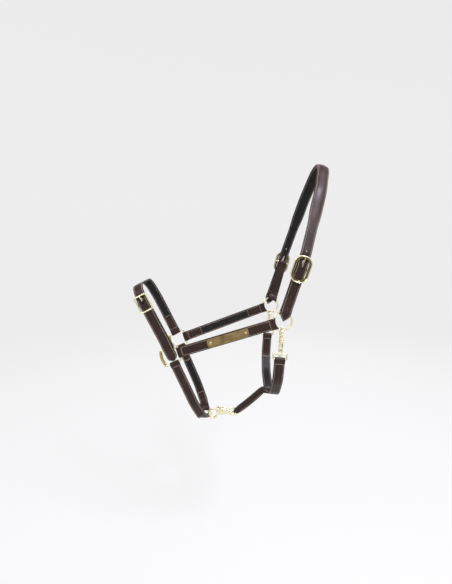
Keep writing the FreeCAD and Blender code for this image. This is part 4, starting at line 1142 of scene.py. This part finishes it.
# ---------------------------------------------------------------- snap hooks
def snap(prefix, plane, mirror=False):
    """Bolt snap: x across it towards the bolt, y from the swivel eye to the hook, z its thickness."""
    body, bolt_body = f"{prefix}_snap", f"{prefix}_bolt"
    shift, mid, end, bolt_x = 4.8, 9.8, -37.0, 5.0
    hook = Shape()
    angles = np.radians(np.linspace(3, 272, 46))
    arc = np.column_stack([-shift + mid * np.cos(angles), mid * np.sin(angles)])
    size = np.interp(np.degrees(angles), (0, 30, 110, 200, 272), (0.86, 0.94, 1.06, 1.02, 1.0))
    bar(hook, plane, arc, oval(2.25, 3.0, 18, 2.4), size, nose=(0.9, 0))
    sections = [(-7.6, -7.4, -3.0, 2.6), (-8.2, -7.9, 8.0, 3.2), (-8.7, -8.1, 8.7, 4.3),
                (-9.8, -8.1, 9.0, 5.0), (-11.6, -8.0, 8.9, 5.1), (-12.1, -7.6, 8.5, 4.7),
                (-12.7, -7.6, 8.5, 4.7), (-13.2, -7.5, 8.6, 5.0), (-20, -7.1, 8.4, 5.0),
                (-27, -6.4, 7.8, 5.0), (-31, -5.4, 6.7, 4.9), (-33.5, -4.6, 5.4, 4.8),
                (-34.2, -4.1, 4.6, 4.4), (-34.7, -4.1, 4.6, 4.4), (-35.2, -4.6, 4.8, 4.8),
                (-36.4, -4.5, 4.5, 4.7), (-37.0, -3.9, 3.9, 4.1)]
    loft(hook, plane, sections)
    stem = [(2.0, 0.0), (2.0, 9.0), (3.2, 9.2), (3.4, 9.8), (2.9, 10.9), (1.2, 11.3)]
    lathe(hook, plane.stood(0, end + 1, 0, (1, 0, 0), (0, 0, 1)), stem, 18)
    obj = hook.build(f"{prefix}_snap_hook_cast", BRASS, body, (f"{prefix}_snap_hook",), "brass", mirror)
    slot_plane = plane.stood(0, 0, 0, (0, 1, 0), (0, 0, 1))
    slot = capsule_cutter(slot_plane, -24.0, -12.0, 1.75, 4.6, 12.0)
    bore = lathe(Shape(), plane.stood(bolt_x, 0, 0, (1, 0, 0), (0, 0, 1)), [(2.0, 7.4), (2.0, 34.0)], 18)
    cutters = [slot, bore]
    punched(obj, [flipped(c) for c in cutters] if mirror else cutters)

    bolt = Shape()
    axis = plane.stood(bolt_x, 0, 0, (0, 0, 1), (1, 0, 0))
    lathe(bolt, axis, [(1.2, -21.15), (1.9, -20.8), (1.92, -2.2), (1.85, -1.2), (1.3, -0.4),
                       (0.6, -0.15)])
    knob = plane.stood(bolt_x, -14.0, 0, (0, 1, 0), (0, 0, 1))
    lathe(bolt, knob, [(1.5, 0.0), (1.55, 4.6), (2.2, 5.2), (3.1, 5.6), (3.3, 6.2), (3.3, 7.0), (2.9, 7.6),
                       (2.0, 8.0), (0.8, 8.15)], 22)
    bolt.build(f"{prefix}_snap_bolt_turned", BRASS, bolt_body, (f"{prefix}_snap_bolt",), "brass", mirror)

    coil(prefix, plane, bolt_x, body, mirror)
    eye = Shape()
    crosswise = plane.stood(0, 0, 0, (0, 0, -1), (0, 1, 0))
    half, top = 14.5, end - 4.2
    outline = rounded([(-half, -EYE_BAR, 3.0), (half, -EYE_BAR, 3.0), (half, top, 3.4),
                       (-half, top, 3.4)], True, 8.0, 1.5)
    bar(eye, crosswise, outline, oval(WIRE, WIRE * 1.05, 16, 2.5), closed=True)
    boss = plane.stood(0, end - 0.5, 0, (1, 0, 0), (0, 0, 1))
    lathe(eye, boss, [(2.1, 7.5), (2.1, 0.1), (3.9, 0.0), (4.7, 0.5), (5.0, 1.4), (5.0, 6.0), (4.6, 7.1),
                      (3.6, 7.6), (2.2, 7.6)], 22)
    eye.build(f"{prefix}_snap_eye_cast", BRASS, EYE_BODY[prefix], (f"{prefix}_snap_eye",), "brass", mirror)


def coil(prefix, plane, bolt_x, body, mirror):
    """Helical spring behind the bolt, built at one length."""
    radius, wire, pitch = 1.35, 0.3, 1.3
    bore_end, start, end = -34.0, -33.5, -21.75
    angle = np.linspace(0, 2 * math.pi * (end - start) / pitch, 220)[:, None]
    section = oval(wire, wire, 10)
    reach = radius + section[:, 0]
    verts = plane.at(bolt_x + reach * np.cos(angle), start + pitch * angle / (2 * math.pi) + section[:, 1],
                     reach * np.sin(angle))
    obj = Shape().add(verts, capped(len(angle), len(section))).build(
        f"{prefix}_snap_spring_coiled", STEEL, body, (f"{prefix}_snap_spring",), "spring", mirror)
    side = np.array((1, -1, 1) if mirror else (1, 1, 1))
    tuple(map(float, plane.at(bolt_x, bore_end, 0) * side * MM))
    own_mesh(obj)


def body_of_node(node):
    """The CAD body a node belongs to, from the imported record."""
    bodies = frame["record"]["behaviour"]["bodies"]
    return next(name for name, nodes in bodies.items() if node in nodes)


EYE_BODY = {prefix: body_of_node(f"{prefix}_snap_eye") for prefix in ("near_throat", "far_throat", "chin")}
HOOK_V = -RING - 4.8
SNAP_HALF = -RING_AT[1] + 4.8


def snaps():
    plane = leaning(RING_AT[0], RING_AT[2], LEAN["throat"])
    near = plane.stood(-SNAP_HALF, HOOK_V, 0, (-1, 0, 0), (0, 1, 0))
    snap("near_throat", near)
    snap("far_throat", near, True)
    snap("chin", Plane((CHIN_SNAP_AT[0], 0, CHIN_SNAP_AT[1]), (0, 0, 1), (-1, 0, 0)))


# ---------------------------------------------------------------- throat and jaw straps
def throat():
    plane = leaning(RING_AT[0], RING_AT[2], LEAN["throat"])
    half = [(SNAP_HALF, HOOK_V - EYE_BAR, 0), (87.0, -122.0, 40.0), (61.0, -160.0, 40.0)]
    path = mirrored(half, [(0, -184.0, 70.0)])
    mid, inner = TOP_PLY / 2, -LINING / 2
    stop = along_run(path, 1, 0.28)
    other = (-stop[0], stop[1], 0)
    tails = [[path[0], path[1], stop], [path[-1], path[-2], other]]
    points = turned_both(path, mid, WIRE + FOLD_GAP + mid, tails, inner)
    inside = offset_path([stop] + path[2:-2] + [other], inner)
    tail = distance_to(points, SNAP_HALF, HOOK_V - EYE_BAR + 4.0)
    lined_strap("throat", "throat", plane, points, inside, WIDTH,
                rows=((1.6, tail - 15), (tail + 15, -tail - 15), (15 - tail, -1.6)),
                spots=(2.6, tail - 15, tail + 15, -tail - 15, 15 - tail, -2.6),
                phase=5.2, **skived(34, 34))
    jaw(plane)


def jaw(throat_plane):
    """Rolled strap from the chin snap's eye, and its loop round the throat strap."""
    low = np.array((CHIN_SNAP_AT[0] + EYE_BAR, CHIN_SNAP_AT[1]))
    upright = Plane((0, 0, 0), (1, 0, 0), (0, 0, 1))
    at = throat_plane.at(0, -179.5)
    a = math.radians(-LEAN["throat"])
    half_w, half_t, wall = WIDTH / 2 + 1.8, 3.6, 2.4

    def by_loop(x, up):
        y = up - 0.4
        return np.array((at[0] + x * math.cos(a) - y * math.sin(a),
                         at[2] + x * math.sin(a) + y * math.cos(a)))

    front = by_loop(-half_w - wall / 2, 0)
    length = float(np.linalg.norm(front - low))
    plane = upright.moved(*low, unit(front - low))
    xs = np.linspace(0, length + 1.0, 40)
    thick = np.interp(xs, (0, 6, 14, length * 0.5, length - 8, length + 1.0),
                      (5.6, 6.9, 7.6, 7.8, 7.7, 6.2))
    thick = np.convolve(np.pad(thick, 2, mode="edge"), np.ones(5) / 5, "valid")
    sag = -1.4 * np.sin(np.pi * xs / length)
    # The join between the two faces lies this share of the half thickness below the middle.
    count, join, half_jaw = 32, 0.35, JAW_WIDTH / 2
    rings, stations = [], []
    for angle in np.radians((80, 60, 35)):
        narrow = half_jaw * (1 - 0.2 * (3 - len(rings)) / 3)
        stations.append(-5.2 * math.sin(angle))
        ring = oval(5.6 * math.cos(angle), narrow, count, 2.6)
        rings.append(plane.at(stations[-1], ring[:, 0], ring[:, 1]))
    for x, half, drop in zip(xs, thick, sag):
        ring = oval(half, half_jaw, count, 2.3)
        pinch = 1 - 0.07 * np.exp(-((ring[:, 0] + join * half) / 0.9) ** 2)
        stations.append(x)
        rings.append(plane.at(x, ring[:, 0] + drop, ring[:, 1] * pinch))
    runs = [np.column_stack([np.full(count, x), np.arange(count) * 1.2, np.zeros(count)]) for x in stations]
    shape = Shape().add(np.concatenate(rings), capped(len(rings), count), np.concatenate(runs))
    outer_w, outer_t = half_w + wall / 2, half_t + wall / 2
    ring = [(*by_loop(x * outer_w, y * outer_t), 3.6) for x, y in ((-1, -1), (1, -1), (1, 1), (-1, 1))]
    band = rounded(ring, True, 8.0, 1.6)
    bar(shape, upright, band, oval(wall / 2, half_jaw, 24, 5.0), closed=True)
    shape.build("jaw_strap_rolled", HAVANA, "throat", ("jaw_strap",), "leather", sharp=60)
    seams = Shape()
    x = np.arange(10, length - 8, SEAM_STEP)
    y = np.interp(x, xs, sag - join * thick)
    level = half_jaw * 0.93 * (1 - join ** 2.3) ** (1 / 2.3)
    for face in (-1, 1):
        sew(seams, plane.at(x, y, face * level), np.tile(face * plane.z, (len(x), 1)))
    seams.build("jaw_strap_stitching", THREAD, "throat")


# ---------------------------------------------------------------- carried-over fittings
def carried():
    """CAD nodes whose shape is right get the brass."""
    for name in ("near_upper_ring", "far_upper_ring", "chin_ring"):
        mesh = frame["nodes"][name].data
        mesh.materials.clear()
        mesh.materials.append(BRASS)
        mesh.shade_smooth()


# ---------------------------------------------------------------- stage
def backdrop():
    """Seamless pale bowl that the object floats over."""
    pale = bpy.data.materials.new("pale_backdrop")
    pale.use_nodes = True
    socket_value(pale.node_tree.nodes["Principled BSDF"], Base_Color=(0.18, 0.18, 0.18, 1),
                 Roughness=0.9, Specular_IOR_Level=0.1, Emission_Color=(1.0, 1.0, 1.0, 1),
                 Emission_Strength=0.67)
    floor_z, radius, height, bend, count = -1000.0, 4500.0, 6500.0, 1500.0, 72
    turn = np.radians(7.5 * np.arange(1, 13))
    curve = np.column_stack([radius - bend + bend * np.sin(turn), floor_z + bend - bend * np.cos(turn)])
    profile = np.vstack([(1.0, floor_z), (radius - bend, floor_z), curve, (radius, floor_z + height)])
    angle = np.linspace(0, 2 * math.pi, count, endpoint=False)
    verts = np.stack([profile[:, 0, None] * np.cos(angle) - 226.0, profile[:, 0, None] * np.sin(angle),
                      profile[:, 1, None] + 0 * angle], axis=-1)
    mesh = bpy.data.meshes.new("studio_floor")
    faces = grid_faces(len(profile), count) + [tuple(range(count))[::-1]]
    mesh.from_pydata((verts.reshape(-1, 3) * MM).tolist(), [], faces)
    mesh.materials.append(pale)
    mesh.shade_smooth()
    floor = bpy.data.objects.new("studio_floor", mesh)
    bpy.context.scene.collection.objects.link(floor)


def pale_sky():
    """World light, pale up to the bowl's rim and dark overhead."""
    world = bpy.data.worlds.new("studio")
    world.use_nodes = True
    tree = world.node_tree
    height = tree.nodes.new("ShaderNodeSeparateXYZ")
    tree.links.new(tree.nodes.new("ShaderNodeTexCoord").outputs["Generated"], height.inputs[0])
    sky = tree.nodes.new("ShaderNodeValToRGB")
    stops = ((0.78, (0.87, 0.87, 0.87, 1)), (0.90, (0.10, 0.10, 0.11, 1)))
    for element, (at, colour) in zip(sky.color_ramp.elements, stops):
        element.position, element.color = at, colour
    tree.links.new(height.outputs["Z"], sky.inputs["Fac"])
    tree.links.new(sky.outputs["Color"], tree.nodes["Background"].inputs["Color"])
    bpy.context.scene.world = world


def lamps():
    """Soft round lights aimed at the object's middle."""
    middle, white = Vector((-0.22, 0.0, -0.3)), (1.0, 1.0, 1.0)
    for name, at, size, power, tint in (
            ("key", (0.62, -1.30, 1.45), 0.62, 90.0, (0.90, 0.86, 1.0)),
            ("fill", (-1.5, -1.1, 0.9), 0.9, 9.0, white),
            ("top", (-0.3, 0.6, 1.9), 1.0, 9.0, white),
            ("back", (0.3, 1.9, 0.6), 1.0, 9.0, white)):
        light = bpy.data.lights.new(name, "AREA")
        light.shape, light.size, light.energy, light.color = "DISK", size, power, tint
        lamp = bpy.data.objects.new(name, light)
        lamp.location = at
        lamp.rotation_euler = (middle - Vector(at)).to_track_quat("-Z", "Y").to_euler()
        bpy.context.scene.collection.objects.link(lamp)


def view():
    """Level camera on the near side; the frame's longer side is 584 picture points."""
    frame_points, sensor = 584, 36.0
    data = bpy.data.cameras.new("view")
    data.lens, data.sensor_width = sensor * 324 / frame_points, sensor
    data.shift_x, data.shift_y = 4 / frame_points, -50 / frame_points
    data.clip_start = 0.01
    camera = bpy.data.objects.new("view", data)
    camera.location = (-0.226, -0.750, -0.166)
    camera.rotation_euler = (math.radians(90), 0, 0)
    bpy.context.scene.collection.objects.link(camera)
    bpy.context.scene.camera = camera
    bpy.context.scene.view_settings.view_transform = "Standard"


crown()
squares()
cheeks()
noseband()
chin_straps()
snaps()
throat()
carried()
backdrop()
pale_sky()
lamps()
view()
